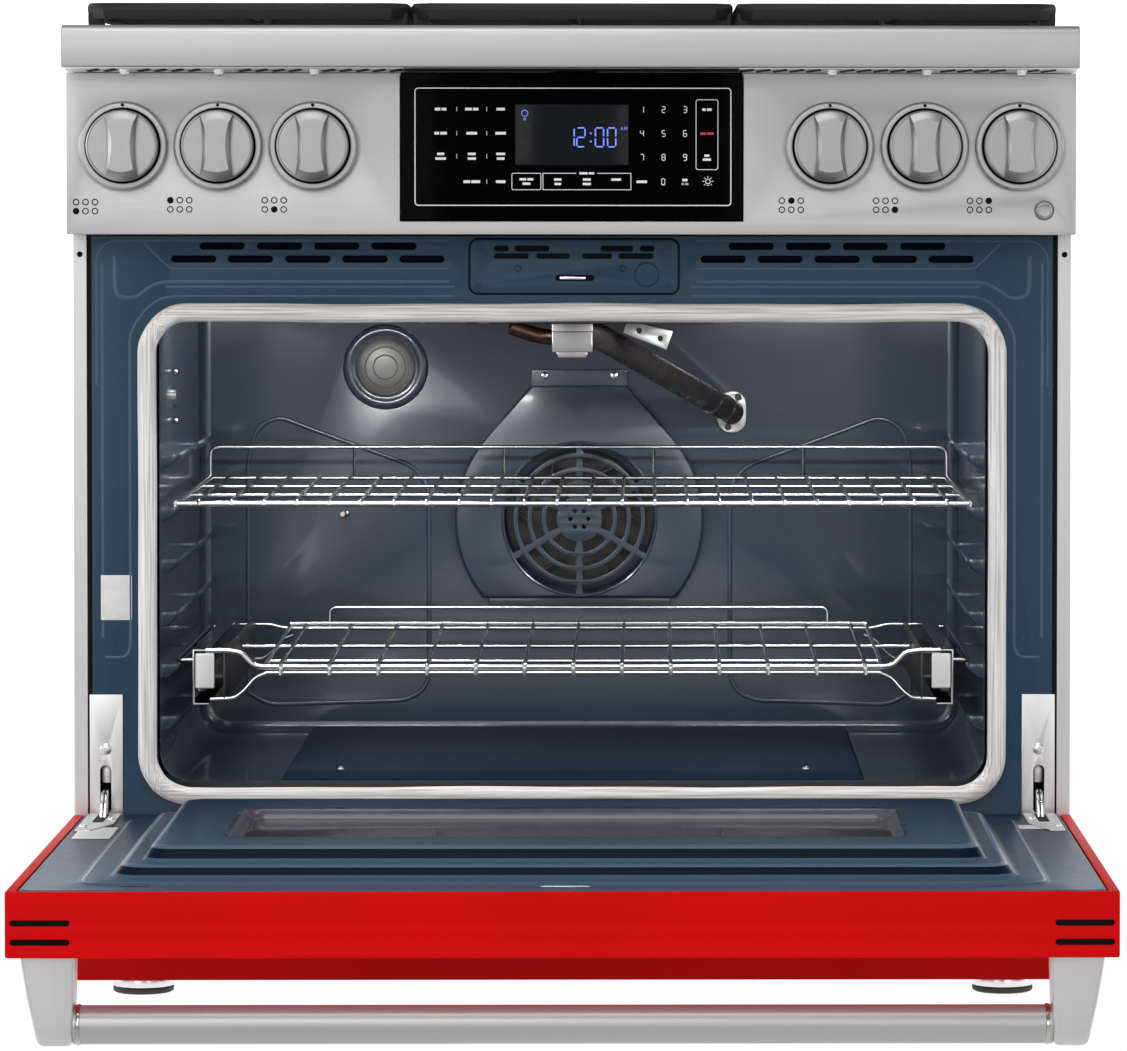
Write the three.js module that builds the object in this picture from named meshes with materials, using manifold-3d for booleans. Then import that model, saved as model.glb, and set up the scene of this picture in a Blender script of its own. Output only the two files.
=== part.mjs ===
// A 36-inch dual-fuel gas range with its oven door open, in millimetres.
// +X is to the right of someone facing the range, +Y points to its back, +Z is up.
// Inside this file y = 0 is the face of the oven's front frame and z = 0 is the floor.
// The exported group is moved along y so that its origin is under the middle of the whole object.
import * as THREE from "three";
import { mergeVertices } from "three/addons/utils/BufferGeometryUtils.js";
import Module from "manifold-3d";

const wasm = await Module();
wasm.setup();

// Clearances and stock
const seat = 0.3;
const overrun = 6;
const sheet = 1.6;
const panelSheet = 2;
const arcSteps = 5;
const wireSides = 6;
const roundSides = 12;
const pipeSides = 8;
const lampSides = 24;
const slotCornerShare = 0.7;

// Body
const bodyWidth = 910;
const halfWidth = bodyWidth / 2;
const bodyDepth = 610;
const kickBottom = 16;
const deckHeight = 885;
const sideFlangeWidth = 12;
const rearFlangeWidth = 15;
const rearRecess = 25;
const postWidth = 24;
const frontPostBack = 78;

// Base pan, legs and kick panel
const panBottom = 40;
const panFlangeHeight = 24;
const railHeight = 22;
const railFrontY = 90;
const railRearInset = 170;
const railRearY = bodyDepth - railRearInset;
const railDepth = 20;
const legInsetX = 59;
const legFrontY = 40;
const legRearInset = 50;
const footRadius = 28.5;
const footPadHeight = 6;
const footPadRadius = 26;
const legSleeveRadius = 24;
const legStemRadius = 5;
const legStemReach = 26;
const kickTop = 112;
const kickReturn = 9;

// Front frame
const frameGap = 4.5;
const frameBottom = 114;
const frameTopDrop = 188;
const frameTop = deckHeight - frameTopDrop;
const frameSlotHeight = 6.4;
const frameSlotWidth = halfWidth * 0.09;
const frameSlotPitch = halfWidth * 0.1143;
const upperSlotX = halfWidth * 0.358;
const upperSlotDrop = 9.5;
const upperSlotZ = frameTop - upperSlotDrop;
const upperSlotCount = 4;
const lowerSlotX = halfWidth * 0.302;
const lowerSlotDrop = 21.3;
const lowerSlotZ = frameTop - lowerSlotDrop;
const lowerSlotCount = 5;
const ridgeInnerX = halfWidth * 0.2418;
const ridgeOuterInset = 28;
const ridgeOuterX = halfWidth - ridgeOuterInset;
const ridgeTopDrop = 3.5;
const ridgeTop = frameTop - ridgeTopDrop;
const ridgeBottomDrop = 45;
const ridgeBottom = frameTop - ridgeBottomDrop;
const ridgeWidth = 5;
const ridgeRise = 2;
const ridgeCorner = 16;
const latchPanelHalfWidth = halfWidth * 0.2095;
const latchPanelDrop = 53;
const latchPanelBottom = frameTop - latchPanelDrop;
const latchPanelTopDrop = 3;
const latchPanelTop = frameTop - latchPanelTopDrop;
const latchPanelRise = 1.4;

// Oven cavity
const cavitySideGap = 78;
const cavityHalfWidth = halfWidth - cavitySideGap;
const cavityFloor = 197.5;
const cavityCeilingDrop = 47;
const cavityCeiling = frameTop - cavityCeilingDrop;
const cavityRearGap = 120;
const cavityDepth = bodyDepth - cavityRearGap;
const openingTopDrop = 75;
const openingTop = frameTop - openingTopDrop;
const openingCorner = 27;
const rungReach = 16;
const rungHeight = 13;
const rungSlope = 7;
const rungFrontY = 16;
const rungRearGap = 28;
const rungBackY = cavityDepth - rungRearGap;
const rungCount = 6;
const lowestRungRise = 58.9;
const lowestRung = cavityFloor + lowestRungRise;
const rungPitch = (cavityCeiling - cavityFloor) * 0.10608;
const wallBeadRise = 1.6;
const wallBeadWidth = 5;

// Rear wall: fan chamber, fan, cover, lamp
const fanBelowMiddle = 13.75;
const fanCentreZ = (cavityFloor + cavityCeiling) / 2 - fanBelowMiddle;
const fanChamberRadius = 80;
const fanChamberDepth = 45;
const fanRadius = 66;
const fanBladeCount = 12;
const fanBladeLength = 22;
const fanBladeDepth = 24;
const fanBladeThickness = 1.8;
const fanDiscThickness = 1.6;
const fanHubRadius = 11;
const fanHubDepth = 14;
const fanSetback = 8;
const fanShaftRadius = 4;
const shaftHoleRadius = 9;
const motorRadius = 38;
const motorDepth = 36;
const motorBoreDepth = 20;
const coverRadius = 124;
const coverBottomDrop = 79;
const coverRise = 12;
const coverTabHalfWidth = 48;
const coverShoulderRise = 133;
const coverShoulderZ = fanCentreZ + coverShoulderRise;
const coverTabRise = 149;
const coverTabTop = fanCentreZ + coverTabRise;
const grilleRings = 4;
const grilleSectors = 6;
const grilleInnerRadius = 24;
const grilleOuterRadius = 75;
const grilleRib = 5;
const grilleSpoke = 6;
const lampX = cavityHalfWidth * -0.512;
const lampDrop = 89;
const lampZ = cavityCeiling - lampDrop;
const lampRingRadius = 42;
const lampLensRadius = 30;
const lampLensRise = 7;
const lampDepth = 34;

// Floor cover and the two oven burners
const floorCoverSideGap = 109;
const floorCoverHalfWidth = cavityHalfWidth - floorCoverSideGap;
const floorCoverFront = 20;
const floorCoverRearGap = 20;
const floorCoverBack = cavityDepth - floorCoverRearGap;
const floorCoverHeight = 6.5;
const floorCoverLip = 20;
const broilHeadHalfWidth = 150;
const broilHeadFront = 110;
const broilHeadRearGap = 90;
const broilHeadBack = cavityDepth - broilHeadRearGap;
const broilHeadDrop = 36;
const broilHeadBottom = cavityCeiling - broilHeadDrop;
const broilHeadHeight = 16;
const broilHangerSize = 14;
const broilTubeRadius = 12.5;
const broilTubeFrontX = 15;
const broilTubeFrontY = 140;
const broilTubeFrontDrop = 44;
const broilTubeFrontZ = cavityCeiling - broilTubeFrontDrop;
const broilTubeBackX = 152;
const broilTubeRackGap = 35.6;
const broilFlangeHalfWidth = 14;
const broilFlangeHalfHeight = 21;
const broilFlangeThickness = 3;
const broilBracketHalfWidth = 19;
const broilBracketDrop = 64;
const broilBracketBottom = cavityCeiling - broilBracketDrop;
const broilBracketDepth = 16;
const bakeTubeRadius = 14;
const bakeTubeDrop = 37.5;
const bakeTubeZ = cavityFloor - bakeTubeDrop;
const bakeTubeHalfWidth = 220;
const bakeTubeFrontY = 130;
const bakeTubeRearGap = 90;
const bakeTubeBackY = cavityDepth - bakeTubeRearGap;
const bakeFootSize = 18;

// Gasket
const gasketSideGap = 2.4;
const gasketInnerX = cavityHalfWidth + gasketSideGap;
const gasketWidth = 17.3;
const gasketHeight = 9.4;
const gasketFloorGap = 4.2;
const gasketInnerBottom = cavityFloor - gasketFloorGap;
const gasketTopGap = 3.1;
const gasketInnerTop = openingTop - gasketTopGap;
const gasketInnerCorner = 29;
const gasketCrown = 4;

// Control panel, touch panel, knobs
const panelFrontY = -60;
const panelFrameGap = 1.7;
const panelBottom = frameTop + panelFrameGap;
const panelTopDrop = 40.4;
const panelTop = deckHeight - panelTopDrop;
const knobDrop = 106.5;
const knobZ = deckHeight - knobDrop;
const knobPitch = halfWidth * 0.1877;
const outerKnobX = halfWidth * 0.8868;
const knobsPerSide = 3;
const bezelRadius = knobPitch * 0.4684;
const bezelWall = 6.5;
const bezelBoreRadius = bezelRadius - bezelWall;
const bezelRise = 9;
const bezelChamfer = 3;
const dialClearance = 1.2;
const dialRadius = bezelBoreRadius - dialClearance;
const dialGap = 4;
const dialDepth = 18;
const dialCheekSink = 4;
const dialEdgeRound = 3;
const gripHalfWidth = 12.4;
const gripWaist = 3.4;
const gripRise = 13;
const gripEndInset = 2.4;
const gripHalfLength = dialRadius - gripEndInset;
const knobPush = 3;
const stemRadius = 4;
const stemHoleRadius = 6;
const stemReach = 20;
const touchHalfWidth = halfWidth * 0.3385;
const touchBottomDrop = 174;
const touchBottom = deckHeight - touchBottomDrop;
const touchTopDrop = 40;
const touchTop = deckHeight - touchTopDrop;
const touchProud = 2;
const touchDepth = 16;
const touchPinRadius = 2.5;
const touchPinReach = 5;
const touchPinSetback = 12;
const touchPinDrop = 7;
const touchGap = 0.8;
const earSize = 12;
const earThickness = 3;
const buttonInset = 28.7;
const buttonX = halfWidth - buttonInset;
const buttonRise = 22;
const buttonZ = panelBottom + buttonRise;
const buttonRadius = 7.7;
const buttonProud = 3;
const buttonFlangeRadius = 9.5;
const buttonFlangeThickness = 2;
const buttonStemDepth = 9;

// Bullnose and cooktop
const bullnoseFrontY = -105;
const bullnoseRise = 1.3;
const bullnoseTop = deckHeight + bullnoseRise;
const bullnoseDrop = 37.2;
const bullnoseBottom = deckHeight - bullnoseDrop;
const bullnoseRound = 8;
const bullnoseChamfer = 7;
const ventStripRise = 2.7;
const ventSlotCount = 19;
const ventSlotLength = 14;
const ventSlotWidth = 3.2;
const ventSlotSlant = 5.5;
const ventFirstGap = 10;
const ventEndGap = 24.6;
const ventFirstX = touchHalfWidth + ventFirstGap;
const ventSlotPitch = (halfWidth - ventEndGap - ventFirstX) / (ventSlotCount - 1);
const trayFrontY = -45;
const traySkirtHeight = 35;
const trayRim = 10;
const trayBasinDrop = 19;
const trimDepth = 52;
const trimRise = 30;
const trimSlotCount = 7;
const trimSlotWidth = halfWidth * 0.211;
const trimSlotDepth = 14;

// Top burners and grates
const burnerPitchX = halfWidth * 0.6505;
const frontBurnerY = 100;
const rearBurnerInset = 200;
const rearBurnerY = bodyDepth - rearBurnerInset;
const burnerBaseRadius = 52;
const burnerBaseHeight = 6;
const burnerHeadRadius = 42;
const burnerHeadHeight = 15;
const burnerCapRadius = 45;
const burnerCapHeight = 7;
const burnerNeckRadius = 20;
const burnerNeckDepth = 30;
const burnerHoleGap = 2;
const burnerSides = 12;
const grateFrontY = -35;
const grateRearInset = 65;
const grateBackY = bodyDepth - grateRearInset;
const grateEdgeGap = 17;
const grateWidth = ((halfWidth - grateEdgeGap) * 2) / 3;
const grateRise = 23;
const grateTop = deckHeight + grateRise;
const grateBar = 12;
const grateBarHeight = 15;
const grateChamfer = 12;
const grateFootSize = 16;
const grateFingerReach = 30;

// Gas supply
const manifoldRadius = 9;
const manifoldY = -20;
const manifoldOverhang = 12;
const valveWidth = 24;
const valveHeight = 28;
const valveFrontY = -44;
const valveNeckRadius = 9;
const supplyPipeRadius = 8;
const supplyPipeInset = 40;
const supplyPipeX = halfWidth - supplyPipeInset;
const inletNutRadius = 14;
const inletNutLength = 20;
const inletInset = 3;

// Racks
const railRadius = 3;
const wireRadius = 1.4;
const crossRadius = 2;
const weld = 0.5;
const rackSideGap = 13;
const rackHalfWidth = cavityHalfWidth - rackSideGap;
const rackFrontY = 35;
const rackRearGap = 46;
const rackBackY = cavityDepth - rackRearGap;
const upperRackRung = 4;
const upperWireCount = 24;
const upperWireEndGap = 20.15;
const upperWirePitch = ((rackHalfWidth - upperWireEndGap) * 2) / (upperWireCount - 1);
const upperCrossCount = 4;
const upperGuardGap = 3;
const upperGuardRise = rungPitch - rungHeight - upperGuardGap;
const upperGuardPitch = rackHalfWidth * 0.379;
const guardPostsPerSide = 2;
const glideRung = 1;
const glideSideGap = 14;
const glideOuterX = rackHalfWidth - glideSideGap;
const glideChannelWidth = 15;
const glideDrop = 39.4;
const glideChannelBottom = lowestRung + rungPitch - glideDrop;
const glideHeight = 51;
const glideChannelTop = glideChannelBottom + glideHeight;
const glideFrontY = 40;
const glideRearGap = 50;
const glideBackY = cavityDepth - glideRearGap;
const slideWidth = 9;
const slideHalfHeight = 15;
const slideGap = 0.8;
const frontTabHeight = 31;
const frontTabThickness = 4;
const lowerGridSideGap = 80;
const lowerGridHalfWidth = rackHalfWidth - lowerGridSideGap;
const lowerGridRise = 36;
const lowerGridZ = glideChannelBottom + lowerGridRise;
const lowerWireCount = 13;
const lowerWireEndGap = 15.2;
const lowerWirePitch = ((lowerGridHalfWidth - lowerWireEndGap) * 2) / (lowerWireCount - 1);
const lowerEndRise = 15;
const lowerUpperEndZ = lowerGridZ + lowerEndRise;
const lowerEndDrop = 31;
const nearCrossGap = 62;
const lowerLowerEndZ = lowerGridZ - lowerEndDrop;
const carriageSideGap = 42;
const carriageX = rackHalfWidth - carriageSideGap;
const carriageThickness = 2;
const lowerGuardSideGap = 38;
const lowerGuardHalfWidth = lowerGridHalfWidth - lowerGuardSideGap;
const lowerGuardRise = 20;

// Door
const doorHingeGap = 8.1;
const doorTopGap = 6;
const doorClosedTop = frameTop - doorTopGap;
const doorFoot = 110.6;
const doorReach = doorClosedTop - doorFoot;
const doorClosedGap = 12;
const doorRimZ = 168.4;
const doorThickness = 54.4;
const doorEdgeRound = 4;
const rimFlangeWidth = 9;
const rimRound = 3;
const linerInset = 1.2;
const linerBeadInset = 54;
const linerBeadX = halfWidth - linerBeadInset;
const linerBeadRise = 2;
const linerBeadSlope = 3;
const linerBeadFrontGap = 42;
const linerStepInset = 81;
const linerStepX = halfWidth - linerStepInset;
const linerStepRise = 12;
const linerStepSlope = 7;
const linerStepFarY = -85;
const linerStepNearInset = 74.4;
const linerStepNearY = linerStepNearInset - doorReach;
const plateauInset = 103;
const plateauX = halfWidth - plateauInset;
const plateauRise = 26;
const plateauSlope = 8;
const plateauFarY = -101;
const plateauNearInset = 98.4;
const plateauNearY = plateauNearInset - doorReach;
const linerCorner = 26;
const windowSideGap = 73;
const windowHalfWidth = plateauX - windowSideGap;
const windowFarY = -196;
const windowNearInset = 178.4;
const windowNearY = windowNearInset - doorReach;
const windowCorner = 12;
const windowSink = 9;
const windowSlope = 6;
const glassThickness = 4;
const glassMargin = 12;
const outerWindowMargin = 4;
const doorSlotWidth = 49;
const doorSlotHeight = 6.4;
const doorSlotInset = 4;
const upperDoorSlotDrop = 26;
const lowerDoorSlotDrop = 42;
const latchSlotHalfWidth = 16;
const latchSlotHeight = 8;

// Door latch
const latchHalfWidth = 12;
const latchThickness = 3;
const latchDrop = 38.5;
const latchZ = frameTop - latchDrop;
const latchDepth = 60;
const latchTravel = 18;
const latchGuideWall = 3;
const latchGuideDepth = 40;

// Door hinges
const receiverInnerInset = 44.2;
const receiverInnerX = halfWidth - receiverInnerInset;
const receiverOuterInset = 14;
const receiverOuterX = halfWidth - receiverOuterInset;
const receiverBottom = 161;
const receiverTop = 278;
const receiverSlotInset = 28.5;
const receiverSlotX = halfWidth - receiverSlotInset;
const receiverSlotWidth = 10;
const receiverSlotBottom = 168.6;
const receiverSlotTop = 213;
const receiverChannelHalfWidth = 9;
const receiverChannelDepth = 46;
const receiverPinRadius = 4;
const receiverPinY = 30;
const receiverPinZ = 182;
const armThickness = 6;
const armBossRadius = 9;
const hingePinRadius = 4;
const cheekThickness = 2;
const cheekHalfGap = 5;
const cheekDepth = 34;
const hingePlateNear = 148;
const hingePlateThickness = 1.5;
const hingeSlotLength = 72;

// Door handle
const handleRadius = 16;
const handleBarInset = 27.4;
const handleBarY = handleBarInset - doorReach;
const handleDrop = 58.2;
const handleBracketInset = 33;
const handleBracketX = halfWidth - handleBracketInset;
const handleBracketHalfTop = 22;
const handleBracketHalfEnd = 13.5;
const handleBracketDepth = 34;
const handleSides = 20;
const knobSides = 16;

// Working sizes that follow from the sizes above
const deckSkirtBottom = deckHeight - traySkirtHeight;
const basinFloor = deckHeight - trayBasinDrop;
const frameHalfWidth = halfWidth - sideFlangeWidth - frameGap;
const backPanelY = bodyDepth - rearRecess;
const postOuterX = halfWidth - sheet - seat;
const doorFarY = -doorHingeGap;
const doorNearY = -doorReach;
const doorOuterZ = doorRimZ - doorThickness;
const pivotSum = doorRimZ + doorClosedGap;
const pivotDifference = doorClosedTop - doorReach;
const pivotY = (pivotDifference - pivotSum) / 2;
const pivotZ = (pivotSum + pivotDifference) / 2;
const topRung = (index) => lowestRung + index * rungPitch;
const broilTubeBackZ = topRung(upperRackRung) + upperGuardRise + broilTubeRackGap;
const knobXs = [];
for (let index = 0; index < knobsPerSide; index += 1) {
  knobXs.push(index * knobPitch - outerKnobX);
}
for (let index = knobsPerSide - 1; index >= 0; index -= 1) {
  knobXs.push(outerKnobX - index * knobPitch);
}

// Colours and finishes
const finish = (color, roughness, metalness) =>
  new THREE.MeshStandardMaterial({ color, roughness, metalness });
const stainless = finish(0xbdbbbb, 0.35, 1);
const chrome = finish(0xd8d8d8, 0.12, 1);
const redEnamel = finish(0xc50f11, 0.4, 0);
const blueEnamel = finish(0x3e5568, 0.25, 0);
const cavityEnamel = finish(0x38424e, 0.25, 0);
const darkSteel = finish(0x3a3734, 0.45, 0.8);
const galvanised = finish(0x8d9092, 0.55, 0.8);
const castIron = finish(0x1c1c1c, 0.7, 0.2);
const blackGlass = finish(0x050507, 0.08, 0);
const clearGlass = finish(0x6c6f74, 0.05, 0);
const brass = finish(0xb08d4a, 0.35, 1);
const fibreglass = finish(0xcdc8c3, 0.9, 0);
const frosted = finish(0xb9b2aa, 0.5, 0);

// Solids from three.js geometry
function solidOf(geometry) {
  const bare = geometry.index ? geometry.toNonIndexed() : geometry.clone();
  bare.deleteAttribute("normal");
  bare.deleteAttribute("uv");
  const merged = mergeVertices(bare);
  return new wasm.Manifold(
    new wasm.Mesh({
      numProp: 3,
      vertProperties: merged.attributes.position.array,
      triVerts: new Uint32Array(merged.index.array),
    }),
  );
}

function block(x0, x1, y0, y1, z0, z1) {
  const geometry = new THREE.BoxGeometry(x1 - x0, y1 - y0, z1 - z0);
  geometry.translate((x0 + x1) / 2, (y0 + y1) / 2, (z0 + z1) / 2);
  return solidOf(geometry);
}

function anticlockwise(points) {
  const vectors = points.map(([a, b]) => new THREE.Vector2(a, b));
  return THREE.ShapeUtils.isClockWise(vectors) ? vectors.reverse() : vectors;
}

// A flat outline pushed along one axis: its points are (y, z) for x, (x, z) for y and (x, y) for z.
function prism(axis, points, from, to, holes = []) {
  const shape = new THREE.Shape(anticlockwise(points));
  for (const hole of holes) {
    shape.holes.push(new THREE.Path(anticlockwise(hole)));
  }
  const geometry = new THREE.ExtrudeGeometry(shape, { depth: to - from, bevelEnabled: false });
  if (axis === "x") {
    geometry.applyMatrix4(
      new THREE.Matrix4().makeBasis(
        new THREE.Vector3(0, 1, 0),
        new THREE.Vector3(0, 0, 1),
        new THREE.Vector3(1, 0, 0),
      ),
    );
    geometry.translate(from, 0, 0);
  } else if (axis === "y") {
    geometry.rotateX(Math.PI / 2);
    geometry.translate(0, to, 0);
  } else {
    geometry.translate(0, 0, from);
  }
  return solidOf(geometry);
}

// A turned solid: the profile's points are (radius, height), from bottom to top along the axis.
function turned(axis, profile, sides, x, y, z) {
  const geometry = new THREE.LatheGeometry(
    profile.map(([radius, height]) => new THREE.Vector2(radius, height)),
    sides,
  );
  if (axis === "z") {
    geometry.rotateX(Math.PI / 2);
  } else if (axis === "x") {
    geometry.rotateZ(-Math.PI / 2);
  }
  geometry.translate(x, y, z);
  return solidOf(geometry);
}

function rod(from, to, radius, sides) {
  const start = new THREE.Vector3(...from);
  const end = new THREE.Vector3(...to);
  const along = end.clone().sub(start);
  const geometry = new THREE.CylinderGeometry(radius, radius, along.length(), sides);
  const up = new THREE.Vector3(0, 1, 0);
  geometry.applyQuaternion(
    new THREE.Quaternion().setFromUnitVectors(up, along.clone().normalize()),
  );
  geometry.translate(...start.add(end).multiplyScalar(1 / 2).toArray());
  return solidOf(geometry);
}

// A bent wire: one tube with a mitred joint at each inner point.
function wire(points, radius, sides) {
  const path = points.map((point) => new THREE.Vector3(...point));
  const runs = path.slice(1).map((point, index) => point.clone().sub(path[index]).normalize());
  const across = new THREE.Vector3().crossVectors(runs[0], runs[1]).normalize();
  const positions = [];
  for (const [index, point] of path.entries()) {
    const before = runs[Math.max(index - 1, 0)];
    const after = runs[Math.min(index, runs.length - 1)];
    const normal = before.clone().add(after).normalize();
    const outward = new THREE.Vector3().crossVectors(before, across).normalize();
    for (let step = 0; step < sides; step += 1) {
      const angle = (step / sides) * 2 * Math.PI;
      const offset = across.clone().multiplyScalar(radius * Math.cos(angle))
        .addScaledVector(outward, radius * Math.sin(angle));
      const slide = -offset.dot(normal) / before.dot(normal);
      positions.push(...point.clone().add(offset).addScaledVector(before, slide).toArray());
    }
  }
  return tubeThrough(positions, path.length, sides);
}

function tubeThrough(positions, levels, count) {
  const index = [];
  const last = (levels - 1) * count;
  for (let step = 1; step < count - 1; step += 1) {
    index.push(0, step + 1, step);
    index.push(last, last + step, last + step + 1);
  }
  for (let level = 0; level < levels - 1; level += 1) {
    for (let step = 0; step < count; step += 1) {
      const next = (step + 1) % count;
      const low = level * count;
      const high = low + count;
      index.push(low + step, low + next, high + next);
      index.push(low + step, high + next, high + step);
    }
  }
  const geometry = new THREE.BufferGeometry();
  geometry.setAttribute("position", new THREE.Float32BufferAttribute(positions, 3));
  geometry.setIndex(index);
  return solidOf(geometry);
}

function join(pieces) {
  return wasm.Manifold.union(pieces);
}

function cut(solid, pieces) {
  return solid.subtract(wasm.Manifold.union(pieces));
}

function roundedRect(a0, a1, b0, b1, radius, steps = arcSteps) {
  const points = [];
  const corners = [
    [a1 - radius, b0 + radius, -Math.PI / 2],
    [a1 - radius, b1 - radius, 0],
    [a0 + radius, b1 - radius, Math.PI / 2],
    [a0 + radius, b0 + radius, Math.PI],
  ];
  for (const [a, b, start] of corners) {
    for (let step = 0; step <= steps; step += 1) {
      const angle = start + (step / steps) * (Math.PI / 2);
      points.push([a + radius * Math.cos(angle), b + radius * Math.sin(angle)]);
    }
  }
  return points;
}

function slotOutline(centreA, centreB, width, height) {
  const halfA = width / 2;
  const halfB = height / 2;
  const corner = halfB * slotCornerShare;
  return roundedRect(centreA - halfA, centreA + halfA, centreB - halfB, centreB + halfB, corner, 1);
}

function disc(centreA, centreB, radius, sides) {
  const points = [];
  for (let step = 0; step < sides; step += 1) {
    const angle = ((step + 1 / 2) / sides) * 2 * Math.PI;
    points.push([centreA + radius * Math.cos(angle), centreB + radius * Math.sin(angle)]);
  }
  return points;
}

// A solid through a stack of outlines with equally many points; place() sets each level.
function stack(outlines, place) {
  const positions = [];
  for (const [level, outline] of outlines.entries()) {
    for (const point of outline) {
      positions.push(...place(point, level));
    }
  }
  return tubeThrough(positions, outlines.length, outlines[0].length);
}

// Levels are [outline, height] pairs, stacked upwards along z or forwards along -y.
function stackUp(levels) {
  const heights = levels.map((level) => level[1]);
  return stack(
    levels.map((level) => level[0]),
    ([a, b], level) => [a, b, heights[level]],
  );
}

function stackForward(levels) {
  const depths = levels.map((level) => level[1]);
  return stack(
    levels.map((level) => level[0]),
    ([a, b], level) => [a, depths[level], b],
  );
}

function meshOf(name, solid, material) {
  const raw = solid.getMesh();
  const positions = new Float32Array(raw.numVert * 3);
  for (let vertex = 0; vertex < raw.numVert; vertex += 1) {
    for (let axis = 0; axis < 3; axis += 1) {
      positions[vertex * 3 + axis] = raw.vertProperties[vertex * raw.numProp + axis];
    }
  }
  const geometry = new THREE.BufferGeometry();
  geometry.setAttribute("position", new THREE.BufferAttribute(positions, 3));
  geometry.setIndex(new THREE.BufferAttribute(raw.triVerts, 1));
  geometry.computeVertexNormals();
  const mesh = new THREE.Mesh(geometry, material);
  mesh.name = name;
  return mesh;
}

// The right-hand piece is modelled and the left-hand one is its mirror image.
function addPair(group, name, solid, material) {
  const right = meshOf(name + "_right", solid, material);
  const left = meshOf(name + "_left", solid, material);
  left.scale.x = -1;
  group.add(right, left);
}

const range = new THREE.Group();
range.name = "gas_range";

// Body: base frame, side panels, back panel, kick panel, legs
function baseFrame() {
  const legXs = [-(halfWidth - legInsetX), halfWidth - legInsetX];
  const legYs = [legFrontY, backPanelY - legRearInset];
  const pan = block(-postOuterX, postOuterX, sheet + seat, backPanelY - sheet - seat,
    panBottom, panBottom + sheet);
  const pieces = [pan];
  const flangeTop = panBottom + panFlangeHeight;
  for (const side of [-1, 1]) {
    const outer = side * postOuterX;
    const inner = side * (postOuterX - sheet);
    pieces.push(block(Math.min(outer, inner), Math.max(outer, inner), sheet + seat,
      backPanelY - sheet - seat, panBottom, flangeTop));
    for (const [backY, direction] of [[frontPostBack, -1], [backPanelY - sheet - seat, -1]]) {
      const frontY = backY + direction * postWidth;
      const angle = [
        [side * postOuterX, frontY],
        [side * postOuterX, backY],
        [side * (postOuterX - postWidth), backY],
        [side * (postOuterX - postWidth), backY - sheet],
        [side * (postOuterX - sheet), backY - sheet],
        [side * (postOuterX - sheet), frontY],
      ];
      pieces.push(prism("z", angle, panBottom, deckSkirtBottom - seat - seat));
    }
  }
  const cavityUnderside = cavityFloor - sheet;
  for (const railY of [railFrontY, railRearY]) {
    pieces.push(block(-postOuterX + sheet / 2, postOuterX - sheet / 2, railY, railY + railDepth,
      cavityUnderside - seat - railHeight, cavityUnderside - seat));
    for (const side of [-1, 1]) {
      const outer = side * (postOuterX - sheet / 2);
      const inner = side * (postOuterX - postWidth);
      pieces.push(block(Math.min(outer, inner), Math.max(outer, inner), railY, railY + sheet,
        panBottom + sheet / 2, cavityUnderside - seat - sheet));
    }
  }
  const holes = [];
  for (const x of legXs) {
    for (const y of legYs) {
      holes.push(prism("z", disc(x, y, legStemRadius + seat, roundSides),
        panBottom - overrun, panBottom + overrun));
    }
  }
  return cut(join(pieces), holes);
}

function sidePanel() {
  const outline = [
    [halfWidth - sideFlangeWidth, 0],
    [halfWidth, 0],
    [halfWidth, bodyDepth],
    [halfWidth - rearFlangeWidth, bodyDepth],
    [halfWidth - rearFlangeWidth, bodyDepth - sheet],
    [halfWidth - sheet, bodyDepth - sheet],
    [halfWidth - sheet, sheet],
    [halfWidth - sideFlangeWidth, sheet],
  ];
  return prism("z", outline, kickBottom, deckSkirtBottom - seat);
}

function backPanel() {
  const plate = block(-postOuterX, postOuterX, backPanelY - sheet, backPanelY,
    panBottom, deckSkirtBottom - seat - seat);
  const louvres = [];
  const louvreWidth = frameSlotWidth + frameSlotWidth;
  const louvrePitch = frameSlotPitch + frameSlotPitch;
  const rowCount = 2;
  const columnsPerSide = 2;
  for (let row = 0; row < rowCount; row += 1) {
    for (let column = -columnsPerSide; column <= columnsPerSide; column += 1) {
      const x = column * louvrePitch;
      const z = cavityCeiling + (row + 1) * rungPitch / 2;
      louvres.push(block(x - louvreWidth / 2, x + louvreWidth / 2, backPanelY - overrun,
        backPanelY + overrun, z - frameSlotHeight / 2, z + frameSlotHeight / 2));
    }
  }
  louvres.push(prism("y", disc(supplyPipeX, knobZ, supplyPipeRadius + seat, roundSides),
    backPanelY - overrun, backPanelY + overrun));
  return cut(plate, louvres);
}

function kickPanel() {
  const frontFace = -sheet - seat;
  return join([
    block(-halfWidth, halfWidth, frontFace, -seat, kickBottom, kickTop),
    block(-frameHalfWidth, frameHalfWidth, frontFace, kickReturn, kickTop - sheet, kickTop),
    block(-frameHalfWidth, frameHalfWidth, frontFace, kickReturn, kickBottom, kickBottom + sheet),
  ]);
}

function leg() {
  const shoulder = panBottom - seat;
  const profile = [
    [0, 0],
    [footPadRadius, 0],
    [footRadius, footPadHeight],
    [footRadius, footPadHeight + footPadHeight],
    [legSleeveRadius, footPadHeight + footPadHeight + footPadHeight],
    [legSleeveRadius, shoulder],
    [legStemRadius, shoulder],
    [legStemRadius, shoulder + legStemReach],
    [0, shoulder + legStemReach],
  ];
  return turned("z", profile, roundSides, 0, 0, 0);
}

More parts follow.
